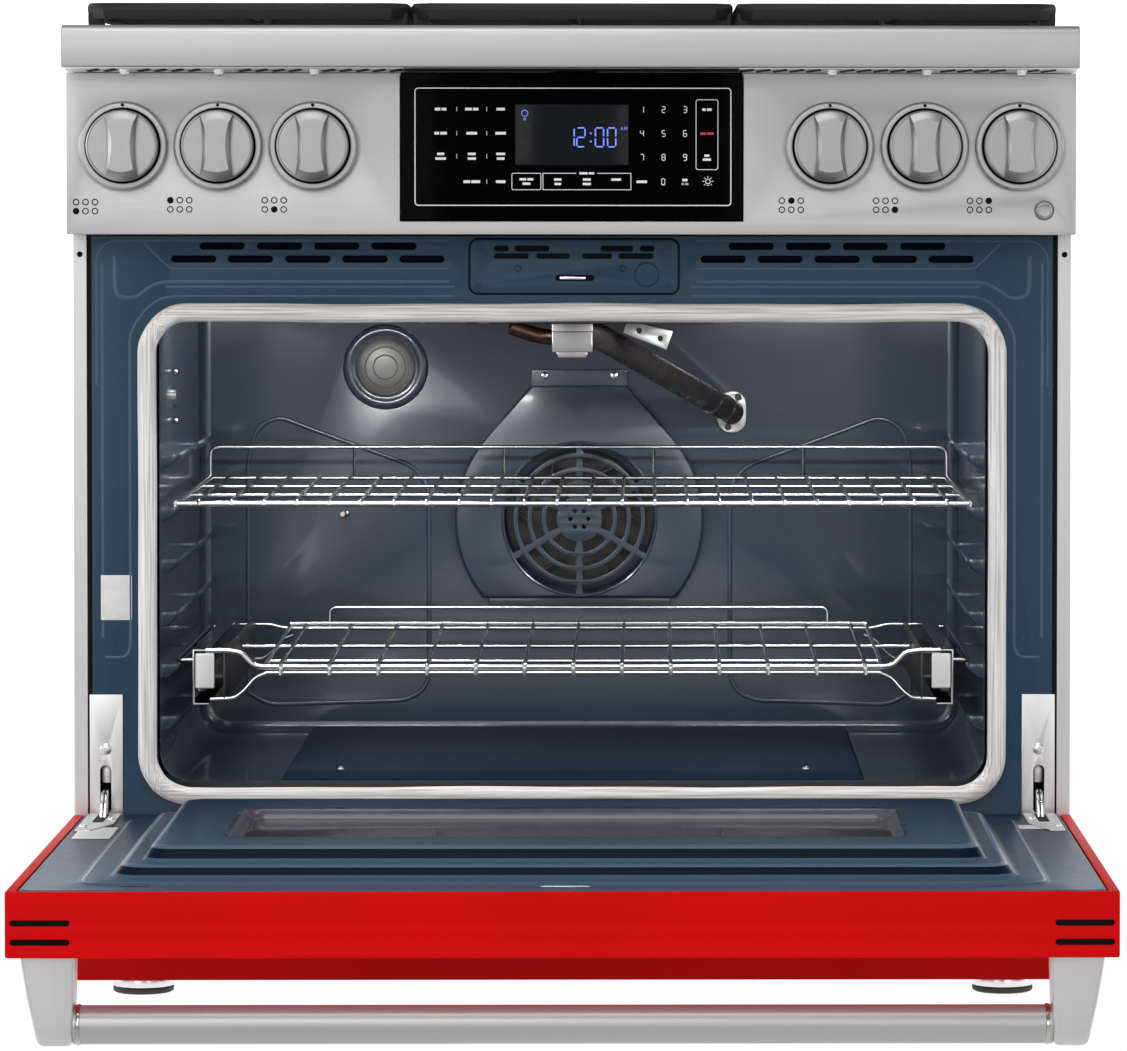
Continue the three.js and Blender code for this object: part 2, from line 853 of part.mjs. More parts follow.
// Front frame: the blue enamelled face around the oven's mouth
function frontFrame() {
  const mouth = roundedRect(-cavityHalfWidth, cavityHalfWidth, cavityFloor, openingTop,
    openingCorner);
  const plate = prism("y",
    [
      [-frameHalfWidth, frameBottom],
      [frameHalfWidth, frameBottom],
      [frameHalfWidth, frameTop],
      [-frameHalfWidth, frameTop],
    ],
    0, sheet, [mouth]);
  const pieces = [plate];
  pieces.push(prism("y",
    roundedRect(-latchPanelHalfWidth, latchPanelHalfWidth, latchPanelBottom, latchPanelTop,
      ridgeWidth, 2),
    -latchPanelRise, sheet / 2));
  const guideHalfWidth = latchHalfWidth + seat + latchGuideWall;
  const guideHalfHeight = latchThickness / 2 + seat + latchGuideWall;
  pieces.push(block(-guideHalfWidth, guideHalfWidth, sheet / 2, latchGuideDepth,
    latchZ - guideHalfHeight, latchZ + guideHalfHeight));
  for (const side of [-1, 1]) {
    pieces.push(frameRidge(side));
  }
  const cuts = [];
  for (const side of [-1, 1]) {
    for (let index = 0; index < upperSlotCount; index += 1) {
      cuts.push(prism("y",
        slotOutline(side * (upperSlotX + index * frameSlotPitch), upperSlotZ,
          frameSlotWidth, frameSlotHeight),
        -overrun, overrun));
    }
    for (let index = 0; index < lowerSlotCount; index += 1) {
      cuts.push(prism("y",
        slotOutline(side * (lowerSlotX + index * frameSlotPitch), lowerSlotZ,
          frameSlotWidth, frameSlotHeight),
        -overrun, overrun));
    }
    const pocketHalf = receiverChannelHalfWidth + seat + seat;
    cuts.push(block(side * receiverSlotX - pocketHalf, side * receiverSlotX + pocketHalf,
      -overrun, overrun, receiverSlotBottom - seat - seat - sheet,
      receiverSlotTop + seat + seat + sheet));
  }
  const latchHalf = latchHalfWidth + seat;
  cuts.push(block(-latchHalf, latchHalf, -overrun, latchGuideDepth + overrun,
    latchZ - latchThickness / 2 - seat, latchZ + latchThickness / 2 + seat));
  return cut(join(pieces), cuts);
}

// A pressed ridge loops round the vent slots at each side.
function frameRidge(side) {
  const outer = roundedRect(ridgeInnerX, ridgeOuterX, ridgeBottom, ridgeTop, ridgeCorner);
  const inner = roundedRect(ridgeInnerX + ridgeWidth, ridgeOuterX - ridgeWidth,
    ridgeBottom + ridgeWidth, ridgeTop - ridgeWidth, ridgeCorner - ridgeWidth);
  return prism("y", outer.map(([a, b]) => [side * a, b]), -ridgeRise, sheet / 2,
    [inner.map(([a, b]) => [side * a, b])]);
}

// Oven cavity: an enamelled liner with rack ledges and a fan chamber in its rear wall
function ovenCavity() {
  const frontY = sheet + seat;
  const backY = cavityDepth + sheet;
  const inner = roundedRect(-cavityHalfWidth, cavityHalfWidth, cavityFloor, cavityCeiling,
    openingCorner);
  const outer = roundedRect(-cavityHalfWidth - sheet, cavityHalfWidth + sheet,
    cavityFloor - sheet, cavityCeiling + sheet, openingCorner + sheet);
  const shell = prism("y", outer, frontY, backY)
    .subtract(prism("y", inner, frontY - overrun, cavityDepth));
  const pieces = [shell];
  for (let index = 0; index < rungCount; index += 1) {
    const z = topRung(index);
    for (const side of [-1, 1]) {
      const wallX = side * (cavityHalfWidth + sheet / 2);
      const tipX = side * (cavityHalfWidth - rungReach);
      const kneeX = side * (cavityHalfWidth - rungReach + rungSlope);
      pieces.push(stackForward([
        [
          orderedQuad(wallX, tipX, kneeX, z),
          rungBackY,
        ],
        [
          orderedQuad(wallX, tipX, kneeX, z),
          rungFrontY,
        ],
      ]));
    }
  }
  const chamberOuter = disc(0, fanCentreZ, fanChamberRadius + sheet, roundSides + roundSides);
  pieces.push(prism("y", chamberOuter, cavityDepth + sheet / 2,
    cavityDepth + fanChamberDepth + sheet));
  const cuts = [
    prism("y", disc(0, fanCentreZ, fanChamberRadius, roundSides + roundSides),
      cavityDepth - overrun, cavityDepth + fanChamberDepth),
    prism("y", disc(0, fanCentreZ, shaftHoleRadius, roundSides),
      cavityDepth, cavityDepth + fanChamberDepth + overrun),
    prism("y", disc(lampX, lampZ, lampRingRadius, lampSides),
      cavityDepth - overrun, cavityDepth + overrun),
  ];
  return cut(join(pieces), cuts);
}

// A rack ledge's section: flat on top, sloping back to the wall below.
function orderedQuad(wallX, tipX, kneeX, topZ) {
  const points = [
    [wallX, topZ - rungHeight],
    [kneeX, topZ - rungHeight],
    [tipX, topZ - rungHeight + rungSlope],
    [tipX, topZ],
    [wallX, topZ],
  ];
  return wallX < tipX ? points : points.reverse();
}

function ovenFloorCover() {
  const underside = cavityFloor + seat;
  const top = cavityFloor + floorCoverHeight;
  const section = [
    [floorCoverFront, underside],
    [floorCoverFront + floorCoverLip, top],
    [floorCoverBack, top],
    [floorCoverBack, underside],
    [floorCoverBack - sheet, underside],
    [floorCoverBack - sheet, top - sheet],
    [floorCoverFront + floorCoverLip + sheet, top - sheet],
    [floorCoverFront + sheet + sheet, underside],
  ];
  const pieces = [prism("x", section, -floorCoverHalfWidth, floorCoverHalfWidth)];
  const cheek = [
    [floorCoverFront, underside],
    [floorCoverFront + floorCoverLip, top],
    [floorCoverBack, top],
    [floorCoverBack, underside],
  ];
  pieces.push(prism("x", cheek, -floorCoverHalfWidth, -floorCoverHalfWidth + sheet));
  pieces.push(prism("x", cheek, floorCoverHalfWidth - sheet, floorCoverHalfWidth));
  return join(pieces);
}

function ovenGasket() {
  const inner = (grow) => roundedRect(-gasketInnerX - grow, gasketInnerX + grow,
    gasketInnerBottom - grow, gasketInnerTop + grow, gasketInnerCorner + grow);
  const outer = (shrink) => inner(gasketWidth - shrink);
  const back = -seat;
  const front = -seat - gasketHeight;
  const crown = front + gasketCrown;
  const body = stackForward([
    [outer(0), back],
    [outer(0), crown],
    [outer(gasketCrown), front],
  ]);
  const bore = stackForward([
    [inner(0), back + overrun],
    [inner(0), crown],
    [inner(gasketCrown), front - seat],
  ]);
  return body.subtract(bore);
}

// Burners of the oven
function broilBurner() {
  const headTop = broilHeadBottom + broilHeadHeight;
  const pieces = [
    block(-broilHeadHalfWidth, broilHeadHalfWidth, broilHeadFront, broilHeadBack,
      broilHeadBottom, headTop),
  ];
  for (const x of [-broilHeadHalfWidth, broilHeadHalfWidth - broilHangerSize]) {
    for (const y of [broilHeadFront, broilHeadBack - broilHangerSize]) {
      pieces.push(block(x, x + broilHangerSize, y, y + broilHangerSize,
        headTop - sheet, cavityCeiling - seat));
    }
  }
  const flangeY = cavityDepth - seat;
  const tubeFront = [broilTubeFrontX, broilTubeFrontY, broilTubeFrontZ];
  const tubeBack = [broilTubeBackX, flangeY - broilFlangeThickness / 2, broilTubeBackZ];
  pieces.push(rod(tubeFront, tubeBack, broilTubeRadius, roundSides));
  pieces.push(prism("y",
    roundedRect(broilTubeBackX - broilFlangeHalfWidth, broilTubeBackX + broilFlangeHalfWidth,
      broilTubeBackZ - broilFlangeHalfHeight, broilTubeBackZ + broilFlangeHalfHeight,
      broilFlangeHalfWidth, 3),
    flangeY - broilFlangeThickness, flangeY));
  pieces.push(block(-broilBracketHalfWidth, broilBracketHalfWidth, broilHeadFront,
    broilHeadFront + broilBracketDepth, broilBracketBottom, broilHeadBottom + sheet));
  const backOverrun = block(broilTubeBackX - coverRadius, broilTubeBackX + coverRadius,
    flangeY, flangeY + coverRadius, broilTubeBackZ - coverRadius, broilTubeBackZ + coverRadius);
  return cut(join(pieces), [backOverrun]);
}

function bakeBurner() {
  const corner = [
    [-bakeTubeHalfWidth, bakeTubeBackY, bakeTubeZ],
    [-bakeTubeHalfWidth, bakeTubeFrontY, bakeTubeZ],
    [bakeTubeHalfWidth, bakeTubeFrontY, bakeTubeZ],
    [bakeTubeHalfWidth, bakeTubeBackY, bakeTubeZ],
  ];
  const pieces = [wire(corner, bakeTubeRadius, wireSides + 2)];
  for (const x of [-bakeTubeHalfWidth, bakeTubeHalfWidth]) {
    for (const y of [bakeTubeFrontY, bakeTubeBackY - bakeFootSize]) {
      const half = bakeFootSize / 2;
      pieces.push(block(x - half, x + half, y - half, y + half,
        panBottom + sheet + seat, bakeTubeZ));
    }
  }
  return join(pieces);
}

// Convection fan, its motor and its cover
function convectionFan() {
  const frontY = cavityDepth + fanSetback;
  const discY = frontY + fanBladeDepth;
  const pieces = [
    prism("y", disc(0, fanCentreZ, fanRadius, roundSides + fanBladeCount), discY,
      discY + fanDiscThickness),
    prism("y", disc(0, fanCentreZ, fanHubRadius, roundSides), discY - fanHubDepth,
      discY + fanDiscThickness / 2),
    prism("y", disc(0, fanCentreZ, fanShaftRadius, roundSides), discY,
      cavityDepth + fanChamberDepth + sheet + motorBoreDepth),
  ];
  for (let index = 0; index < fanBladeCount; index += 1) {
    const blade = new THREE.BoxGeometry(fanBladeLength, fanBladeDepth, fanBladeThickness);
    blade.rotateY(Math.PI / 5);
    blade.translate(fanRadius - fanBladeLength / 2, discY - fanBladeDepth / 2 + seat, 0);
    blade.rotateY((index / fanBladeCount) * 2 * Math.PI);
    blade.translate(0, 0, fanCentreZ);
    pieces.push(solidOf(blade));
  }
  return join(pieces);
}

function fanMotor() {
  const frontY = cavityDepth + fanChamberDepth + sheet + seat;
  const body = prism("y", disc(0, fanCentreZ, motorRadius, roundSides + roundSides), frontY,
    frontY + motorDepth);
  return cut(body, [
    prism("y", disc(0, fanCentreZ, fanShaftRadius + seat, roundSides), frontY - overrun,
      frontY + motorBoreDepth),
  ]);
}

function coverOutline(inset) {
  const radius = coverRadius - inset;
  const bottom = fanCentreZ - coverBottomDrop + inset;
  const bottomAngle = Math.asin((bottom - fanCentreZ) / radius);
  const shoulderHalf = coverTabHalfWidth - inset;
  const shoulderZ = coverShoulderZ - inset;
  const distance = Math.hypot(shoulderHalf, shoulderZ - fanCentreZ);
  const toShoulder = Math.atan2(shoulderZ - fanCentreZ, shoulderHalf);
  const tangent = toShoulder - Math.acos(radius / distance);
  const points = [];
  const steps = 8;
  for (let step = 0; step <= steps; step += 1) {
    const angle = bottomAngle + (step / steps) * (tangent - bottomAngle);
    points.push([radius * Math.cos(angle), fanCentreZ + radius * Math.sin(angle)]);
  }
  points.push([shoulderHalf, shoulderZ]);
  const mirrored = points.map(([a, b]) => [-a, b]).reverse();
  return points.concat(mirrored);
}

function fanCover() {
  const wallY = cavityDepth - seat;
  const frontY = wallY - coverRise;
  const pieces = [
    prism("y", coverOutline(0), frontY, wallY)
      .subtract(prism("y", coverOutline(sheet), frontY + sheet, wallY + overrun)),
    block(-coverTabHalfWidth, coverTabHalfWidth, wallY - sheet, wallY,
      coverShoulderZ - sheet, coverTabTop),
  ];
  const slots = [];
  const ringPitch = (grilleOuterRadius - grilleInnerRadius + grilleRib) / grilleRings;
  for (let ring = 0; ring < grilleRings; ring += 1) {
    const innerRadius = grilleInnerRadius + ring * ringPitch;
    const outerRadius = innerRadius + ringPitch - grilleRib;
    for (let sector = 0; sector < grilleSectors; sector += 1) {
      const middle = (sector / grilleSectors) * 2 * Math.PI;
      const half = Math.PI / grilleSectors - grilleSpoke / 2 / innerRadius;
      slots.push(prism("y", arcSlot(innerRadius, outerRadius, middle - half, middle + half),
        frontY - overrun, frontY + overrun));
    }
  }
  return cut(join(pieces), slots);
}

function arcSlot(innerRadius, outerRadius, from, to) {
  const steps = 3;
  const points = [];
  for (let step = 0; step <= steps; step += 1) {
    const angle = from + (step / steps) * (to - from);
    points.push([outerRadius * Math.cos(angle), fanCentreZ + outerRadius * Math.sin(angle)]);
  }
  for (let step = steps; step >= 0; step -= 1) {
    const angle = from + (step / steps) * (to - from);
    points.push([innerRadius * Math.cos(angle), fanCentreZ + innerRadius * Math.sin(angle)]);
  }
  return points;
}

function ovenLamp() {
  const flange = lampRingRadius - seat - seat;
  const profile = [
    [0, -lampDepth],
    [lampLensRadius, -lampDepth],
    [flange, sheet - lampLensRise],
    [flange, sheet],
    [lampLensRadius + panelSheet, sheet],
    [lampLensRadius, sheet + panelSheet],
    [lampLensRadius * Math.cos(Math.PI / 6), lampLensRise],
    [lampLensRadius / 2, lampLensRise + panelSheet],
    [0, lampLensRise + panelSheet],
  ];
  const turnedSolid = profile.map(([radius, height]) => [radius, -height]).reverse();
  return turned("y", turnedSolid, lampSides, lampX, cavityDepth, lampZ);
}

// Hinges: the receiver with its hooked arm stays on the body, the hinge box swings with the door
function hingeReceiver() {
  const plateFront = -sheet - seat;
  const halfSlot = receiverSlotWidth / 2;
  const slot = roundedRect(receiverSlotX - halfSlot, receiverSlotX + halfSlot,
    receiverSlotBottom, receiverSlotTop, halfSlot - seat, 3);
  const plate = prism("y",
    [
      [receiverInnerX, receiverBottom],
      [receiverOuterX, receiverBottom],
      [receiverOuterX, receiverTop],
      [receiverInnerX, receiverTop],
    ],
    plateFront, -seat, [slot]);
  const half = receiverChannelHalfWidth;
  const channel = cut(
    block(receiverSlotX - half, receiverSlotX + half, plateFront + sheet / 2,
      receiverChannelDepth, receiverSlotBottom - sheet, receiverSlotTop + sheet),
    [block(receiverSlotX - half + sheet, receiverSlotX + half - sheet,
      plateFront - overrun, receiverChannelDepth - sheet,
      receiverSlotBottom, receiverSlotTop)],
  );
  const pin = rod([receiverSlotX - half + sheet / 2, receiverPinY, receiverPinZ],
    [receiverSlotX + half - sheet / 2, receiverPinY, receiverPinZ],
    receiverPinRadius, wireSides + 2);
  return join([plate, channel, pin, hingeArm()]);
}

// The arm's side view: a boss round the pivot, a rising neck and a hook over the receiver's pin.
function hingeArm() {
  const topZ = receiverPinZ + armBossRadius;
  const neckZ = receiverSlotBottom + sheet;
  const outline = [
    [pivotY - armBossRadius, pivotZ],
    [pivotY - armBossRadius + seat, pivotZ + armBossRadius],
    [pivotY / 2 - armBossRadius, topZ - armBossRadius],
    [pivotY / 4 - armBossRadius, topZ - hingePinRadius / 2],
    [0, topZ],
    [receiverPinY, topZ],
    [receiverPinY + armBossRadius, receiverPinZ],
    [receiverPinY + armBossRadius, neckZ],
    [pivotY / 2 + hingePinRadius, neckZ],
    [pivotY / 2, neckZ - armBossRadius],
    [pivotY + armBossRadius, pivotZ],
    [pivotY + armBossRadius / 2, pivotZ - armBossRadius],
    [pivotY - armBossRadius / 2, pivotZ - armBossRadius],
  ];
  const half = armThickness / 2;
  const plate = prism("x", outline, receiverSlotX - half, receiverSlotX + half);
  return cut(plate, [
    rod([receiverSlotX - armThickness, pivotY, pivotZ], [receiverSlotX + armThickness, pivotY,
      pivotZ], hingePinRadius + seat, roundSides),
  ]);
}

function doorHinge() {
  const plateTop = doorRimZ + hingePlateThickness + seat;
  const slotHalf = cheekHalfGap;
  const cheekBack = doorFarY - doorEdgeRound - seat;
  const cheekFront = cheekBack - hingeSlotLength - doorEdgeRound;
  const plateBack = doorFarY - doorEdgeRound;
  const plate = cut(
    prism("z",
      [
        [receiverInnerX, plateBack],
        [receiverOuterX, plateBack],
        [receiverOuterX, -hingePlateNear],
        [receiverSlotX, -hingePlateNear],
        [receiverInnerX, cheekFront - cheekHalfGap],
      ],
      doorRimZ + seat, plateTop),
    [block(receiverSlotX - slotHalf, receiverSlotX + slotHalf, cheekFront + cheekThickness,
      plateBack + overrun, doorRimZ - overrun, plateTop + overrun)],
  );
  const pieces = [plate];
  for (const side of [-1, 1]) {
    const inner = receiverSlotX + side * slotHalf;
    const outer = receiverSlotX + side * (slotHalf + cheekThickness);
    pieces.push(block(Math.min(inner, outer), Math.max(inner, outer), cheekFront, cheekBack,
      pivotZ - cheekDepth / 2, plateTop));
  }
  pieces.push(block(receiverSlotX - slotHalf - cheekThickness / 2,
    receiverSlotX + slotHalf + cheekThickness / 2, cheekFront, cheekFront + cheekThickness,
    pivotZ - cheekDepth / 2, plateTop));
  const pinHalf = slotHalf + cheekThickness / 2;
  pieces.push(rod([receiverSlotX - pinHalf, pivotY, pivotZ],
    [receiverSlotX + pinHalf, pivotY, pivotZ], hingePinRadius, roundSides));
  return join(pieces);
}

// Cooktop: tray with rear trim, bullnose, burners and grates
function cooktopTray() {
  const backY = bodyDepth;
  const skirt = block(-halfWidth, halfWidth, trayFrontY, backY, deckSkirtBottom, deckHeight);
  const trimFront = backY - trimDepth;
  const trim = block(-halfWidth + trayRim, halfWidth - trayRim, trimFront, backY,
    deckHeight - sheet, deckHeight + trimRise);
  const basin = prism("z",
    roundedRect(-halfWidth + trayRim, halfWidth - trayRim, trayFrontY + trayRim, trimFront,
      trayRim, 2),
    basinFloor, deckHeight + overrun);
  const hollow = block(-halfWidth + sheet, halfWidth - sheet, trayFrontY + sheet, backY - sheet,
    deckSkirtBottom - overrun, basinFloor - sheet);
  const trimHollow = block(-halfWidth + trayRim + sheet, halfWidth - trayRim - sheet,
    trimFront + sheet, backY - sheet, basinFloor - trayRim, deckHeight + trimRise - sheet);
  const cuts = [basin, hollow, trimHollow];
  for (const x of [-burnerPitchX, 0, burnerPitchX]) {
    for (const y of [frontBurnerY, rearBurnerY]) {
      cuts.push(prism("z", disc(x, y, burnerNeckRadius + burnerHoleGap, roundSides),
        basinFloor - overrun, basinFloor + overrun));
    }
  }
  const trimPitch = trimSlotWidth + trimSlotDepth + trimSlotDepth;
  for (let index = 0; index < trimSlotCount; index += 1) {
    const x = (index - (trimSlotCount - 1) / 2) * trimPitch;
    cuts.push(prism("z",
      slotOutline(x, trimFront + trimDepth / 2, trimSlotWidth, trimSlotDepth),
      deckHeight, deckHeight + trimRise + overrun));
  }
  return cut(join([skirt, trim]), cuts);
}

function bullnose() {
  const backY = trayFrontY - seat;
  const arc = [];
  const arcInner = [];
  for (let step = 0; step <= arcSteps; step += 1) {
    const angle = (step / arcSteps) * (Math.PI / 2);
    const centreY = bullnoseFrontY + bullnoseRound;
    const centreZ = bullnoseTop - bullnoseRound;
    const innerRound = bullnoseRound - panelSheet;
    arc.push([centreY - bullnoseRound * Math.sin(angle), centreZ + bullnoseRound * Math.cos(angle)]);
    arcInner.push([centreY - innerRound * Math.sin(angle), centreZ + innerRound * Math.cos(angle)]);
  }
  const stripBackZ = bullnoseBottom - ventStripRise;
  const outerLine = [[backY, bullnoseTop], ...arc, [bullnoseFrontY, bullnoseBottom],
    [panelFrontY, stripBackZ]];
  const innerLine = [[backY, bullnoseTop - panelSheet], ...arcInner,
    [bullnoseFrontY + panelSheet, bullnoseBottom + panelSheet],
    [panelFrontY, stripBackZ + panelSheet]];
  const section = outerLine.concat(innerLine.reverse());
  const shell = prism("x", section, -halfWidth, halfWidth);
  const endOutline = [[backY, stripBackZ], ...outerLine.slice(0, -1).map((point) => point),
    [panelFrontY, stripBackZ]];
  const pieces = [shell];
  for (const side of [-1, 1]) {
    const outer = side * halfWidth;
    const inner = side * (halfWidth - panelSheet);
    pieces.push(prism("x", endOutline, Math.min(outer, inner), Math.max(outer, inner)));
  }
  const cuts = [
    block(-touchHalfWidth - panelSheet, touchHalfWidth + panelSheet,
      panelFrontY - touchPinSetback - overrun, panelFrontY + overrun,
      stripBackZ - overrun, bullnoseBottom + overrun),
  ];
  for (const side of [-1, 1]) {
    const corner = [
      [side * halfWidth, bullnoseBottom + bullnoseChamfer],
      [side * halfWidth, bullnoseBottom - bullnoseChamfer - overrun],
      [side * (halfWidth - bullnoseChamfer - bullnoseChamfer),
        bullnoseBottom - bullnoseChamfer - overrun],
      [side * (halfWidth - bullnoseChamfer), bullnoseBottom - ventStripRise - seat],
      [side * (halfWidth - panelSheet / 2), bullnoseBottom],
    ];
    cuts.push(prism("y", corner, bullnoseFrontY - overrun, panelFrontY - overrun));
    for (let index = 0; index < ventSlotCount; index += 1) {
      const x = side * (ventFirstX + index * ventSlotPitch);
      const midY = (bullnoseFrontY + panelFrontY) / 2;
      const lean = ventSlotSlant;
      cuts.push(prism("z",
        [
          [x - ventSlotWidth / 2 + lean, midY - ventSlotLength],
          [x + ventSlotWidth / 2 + lean, midY - ventSlotLength],
          [x + ventSlotWidth / 2 - lean, midY + ventSlotLength],
          [x - ventSlotWidth / 2 - lean, midY + ventSlotLength],
        ],
        stripBackZ - overrun, bullnoseBottom + overrun));
    }
  }
  return cut(join(pieces), cuts);
}

function topBurner() {
  const baseBottom = seat;
  const profile = [
    [0, -burnerNeckDepth],
    [burnerNeckRadius, -burnerNeckDepth],
    [burnerNeckRadius, baseBottom],
    [burnerBaseRadius, baseBottom],
    [burnerHeadRadius, baseBottom + burnerBaseHeight],
    [burnerHeadRadius, baseBottom + burnerHeadHeight],
    [burnerCapRadius, baseBottom + burnerHeadHeight],
    [burnerCapRadius, baseBottom + burnerHeadHeight + burnerCapHeight / 2],
    [burnerCapRadius - burnerCapHeight, baseBottom + burnerHeadHeight + burnerCapHeight],
    [0, baseBottom + burnerHeadHeight + burnerCapHeight],
  ];
  return turned("z", profile, burnerSides, 0, 0, 0);
}

// One grate: a chamfered frame, a middle bar and fingers pointing at the two burners below.
function grate() {
  const half = (grateWidth - seat) / 2;
  const bottom = grateTop - grateBarHeight;
  const corner = (edge, y) => [edge, y];
  const outline = (inset) => [
    corner(-half + inset, grateFrontY + grateChamfer + inset / 2),
    corner(-half + grateChamfer + inset / 2, grateFrontY + inset),
    corner(half - grateChamfer - inset / 2, grateFrontY + inset),
    corner(half - inset, grateFrontY + grateChamfer + inset / 2),
    corner(half - inset, grateBackY - grateChamfer - inset / 2),
    corner(half - grateChamfer - inset / 2, grateBackY - inset),
    corner(-half + grateChamfer + inset / 2, grateBackY - inset),
    corner(-half + inset, grateBackY - grateChamfer - inset / 2),
  ];
  const pieces = [prism("z", outline(0), bottom, grateTop, [outline(grateBar)])];
  const middleY = (frontBurnerY + rearBurnerY) / 2;
  const halfBar = grateBar / 2;
  pieces.push(block(-half + halfBar, half - halfBar, middleY - halfBar, middleY + halfBar,
    bottom, grateTop));
  for (const y of [frontBurnerY, rearBurnerY]) {
    const frontEdge = y === frontBurnerY ? grateFrontY : middleY;
    const backEdge = y === frontBurnerY ? middleY : grateBackY;
    pieces.push(block(-half + halfBar, -grateFingerReach, y - halfBar, y + halfBar,
      bottom, grateTop));
    pieces.push(block(grateFingerReach, half - halfBar, y - halfBar, y + halfBar,
      bottom, grateTop));
    pieces.push(block(-halfBar, halfBar, frontEdge + halfBar, y - grateFingerReach,
      bottom, grateTop));
    pieces.push(block(-halfBar, halfBar, y + grateFingerReach, backEdge - halfBar,
      bottom, grateTop));
  }
  for (const x of [-half, half - grateFootSize]) {
    for (const y of [grateFrontY + grateChamfer, middleY - grateFootSize / 2,
      grateBackY - grateChamfer - grateFootSize]) {
      pieces.push(block(x, x + grateFootSize, y, y + grateFootSize,
        basinFloor + seat, bottom + sheet));
    }
  }
  return join(pieces);
}

// Gas manifold: a pipe behind the knobs, six valves and the supply pipe to the rear inlet
function gasManifold() {
  const leftEnd = -outerKnobX - manifoldOverhang;
  const rightEnd = supplyPipeX + supplyPipeRadius;
  const pieces = [
    rod([leftEnd, manifoldY, knobZ], [rightEnd, manifoldY, knobZ], manifoldRadius, pipeSides),
    rod([supplyPipeX, manifoldY, knobZ], [supplyPipeX, bodyDepth - inletInset, knobZ],
      supplyPipeRadius, pipeSides),
    rod([supplyPipeX, bodyDepth - inletInset - inletNutLength, knobZ],
      [supplyPipeX, bodyDepth - inletInset, knobZ], inletNutRadius, wireSides),
  ];
  const neckFront = panelFrontY + panelSheet + seat;
  const bores = [];
  for (const x of knobXs) {
    pieces.push(block(x - valveWidth / 2, x + valveWidth / 2, valveFrontY,
      manifoldY, knobZ - valveHeight / 2, knobZ + valveHeight / 2));
    pieces.push(rod([x, neckFront, knobZ], [x, valveFrontY + sheet, knobZ], valveNeckRadius,
      pipeSides));
    bores.push(rod([x, neckFront - overrun, knobZ],
      [x, valveFrontY + stemReach, knobZ], stemRadius + seat, roundSides));
  }
  return cut(join(pieces), bores);
}

// Control panel with a bezel ring round each knob and two ears for the lifting touch panel
function controlPanel() {
  const backY = -seat;
  const shell = cut(
    block(-halfWidth, halfWidth, panelFrontY, backY, panelBottom, panelTop),
    [block(-halfWidth + panelSheet, halfWidth - panelSheet, panelFrontY + panelSheet,
      backY + overrun, panelBottom + panelSheet, panelTop + overrun)],
  );
  const pieces = [shell];
  for (const x of knobXs) {
    const profile = [
      [bezelBoreRadius, -panelSheet / 2],
      [bezelRadius, -panelSheet / 2],
      [bezelRadius, bezelRise - bezelChamfer],
      [bezelRadius - bezelChamfer, bezelRise],
      [bezelBoreRadius, bezelRise],
      [bezelBoreRadius, -panelSheet / 2],
    ];
    const facing = profile.map(([radius, height]) => [radius, -height]).reverse();
    pieces.push(turned("y", facing, knobSides, x, panelFrontY, knobZ));
  }
  const pinY = panelFrontY - touchProud + touchPinSetback;
  const pinZ = touchTop - touchPinDrop;
  const earHalf = earSize / 2;
  const window = touchHalfWidth + touchGap;
  for (const side of [-1, 1]) {
    const inner = side * window;
    const outer = side * (window + earThickness);
    pieces.push(block(Math.min(inner, outer), Math.max(inner, outer),
      panelFrontY + panelSheet / 2, pinY + earHalf, pinZ - earHalf, pinZ + earHalf / 2));
  }
  const cuts = [
    block(-window, window, panelFrontY - overrun, panelFrontY + overrun,
      touchBottom - touchGap, panelTop + overrun),
    rod([-window - earThickness - overrun, pinY, pinZ],
      [window + earThickness + overrun, pinY, pinZ], touchPinRadius + seat, roundSides),
    rod([buttonX, panelFrontY - overrun, buttonZ], [buttonX, panelFrontY + overrun, buttonZ],
      buttonRadius + seat, roundSides),
  ];
  for (const x of knobXs) {
    cuts.push(rod([x, panelFrontY - overrun, knobZ], [x, panelFrontY + overrun, knobZ],
      stemHoleRadius, roundSides));
  }
  return cut(join(pieces), cuts);
}

function touchPanel() {
  const frontY = panelFrontY - touchProud;
  const pinY = frontY + touchPinSetback;
  const pinZ = touchTop - touchPinDrop;
  return join([
    block(-touchHalfWidth, touchHalfWidth, frontY, frontY + touchDepth, touchBottom, touchTop),
    rod([-touchHalfWidth - touchPinReach, pinY, pinZ],
      [touchHalfWidth + touchPinReach, pinY, pinZ], touchPinRadius, roundSides),
  ]);
}

function valveStem() {
  const back = valveFrontY + stemReach - knobPush - sheet;
  const front = panelFrontY - dialGap - dialDepth + dialCheekSink;
  return rod([0, front + seat, 0], [0, back, 0], stemRadius, roundSides);
}

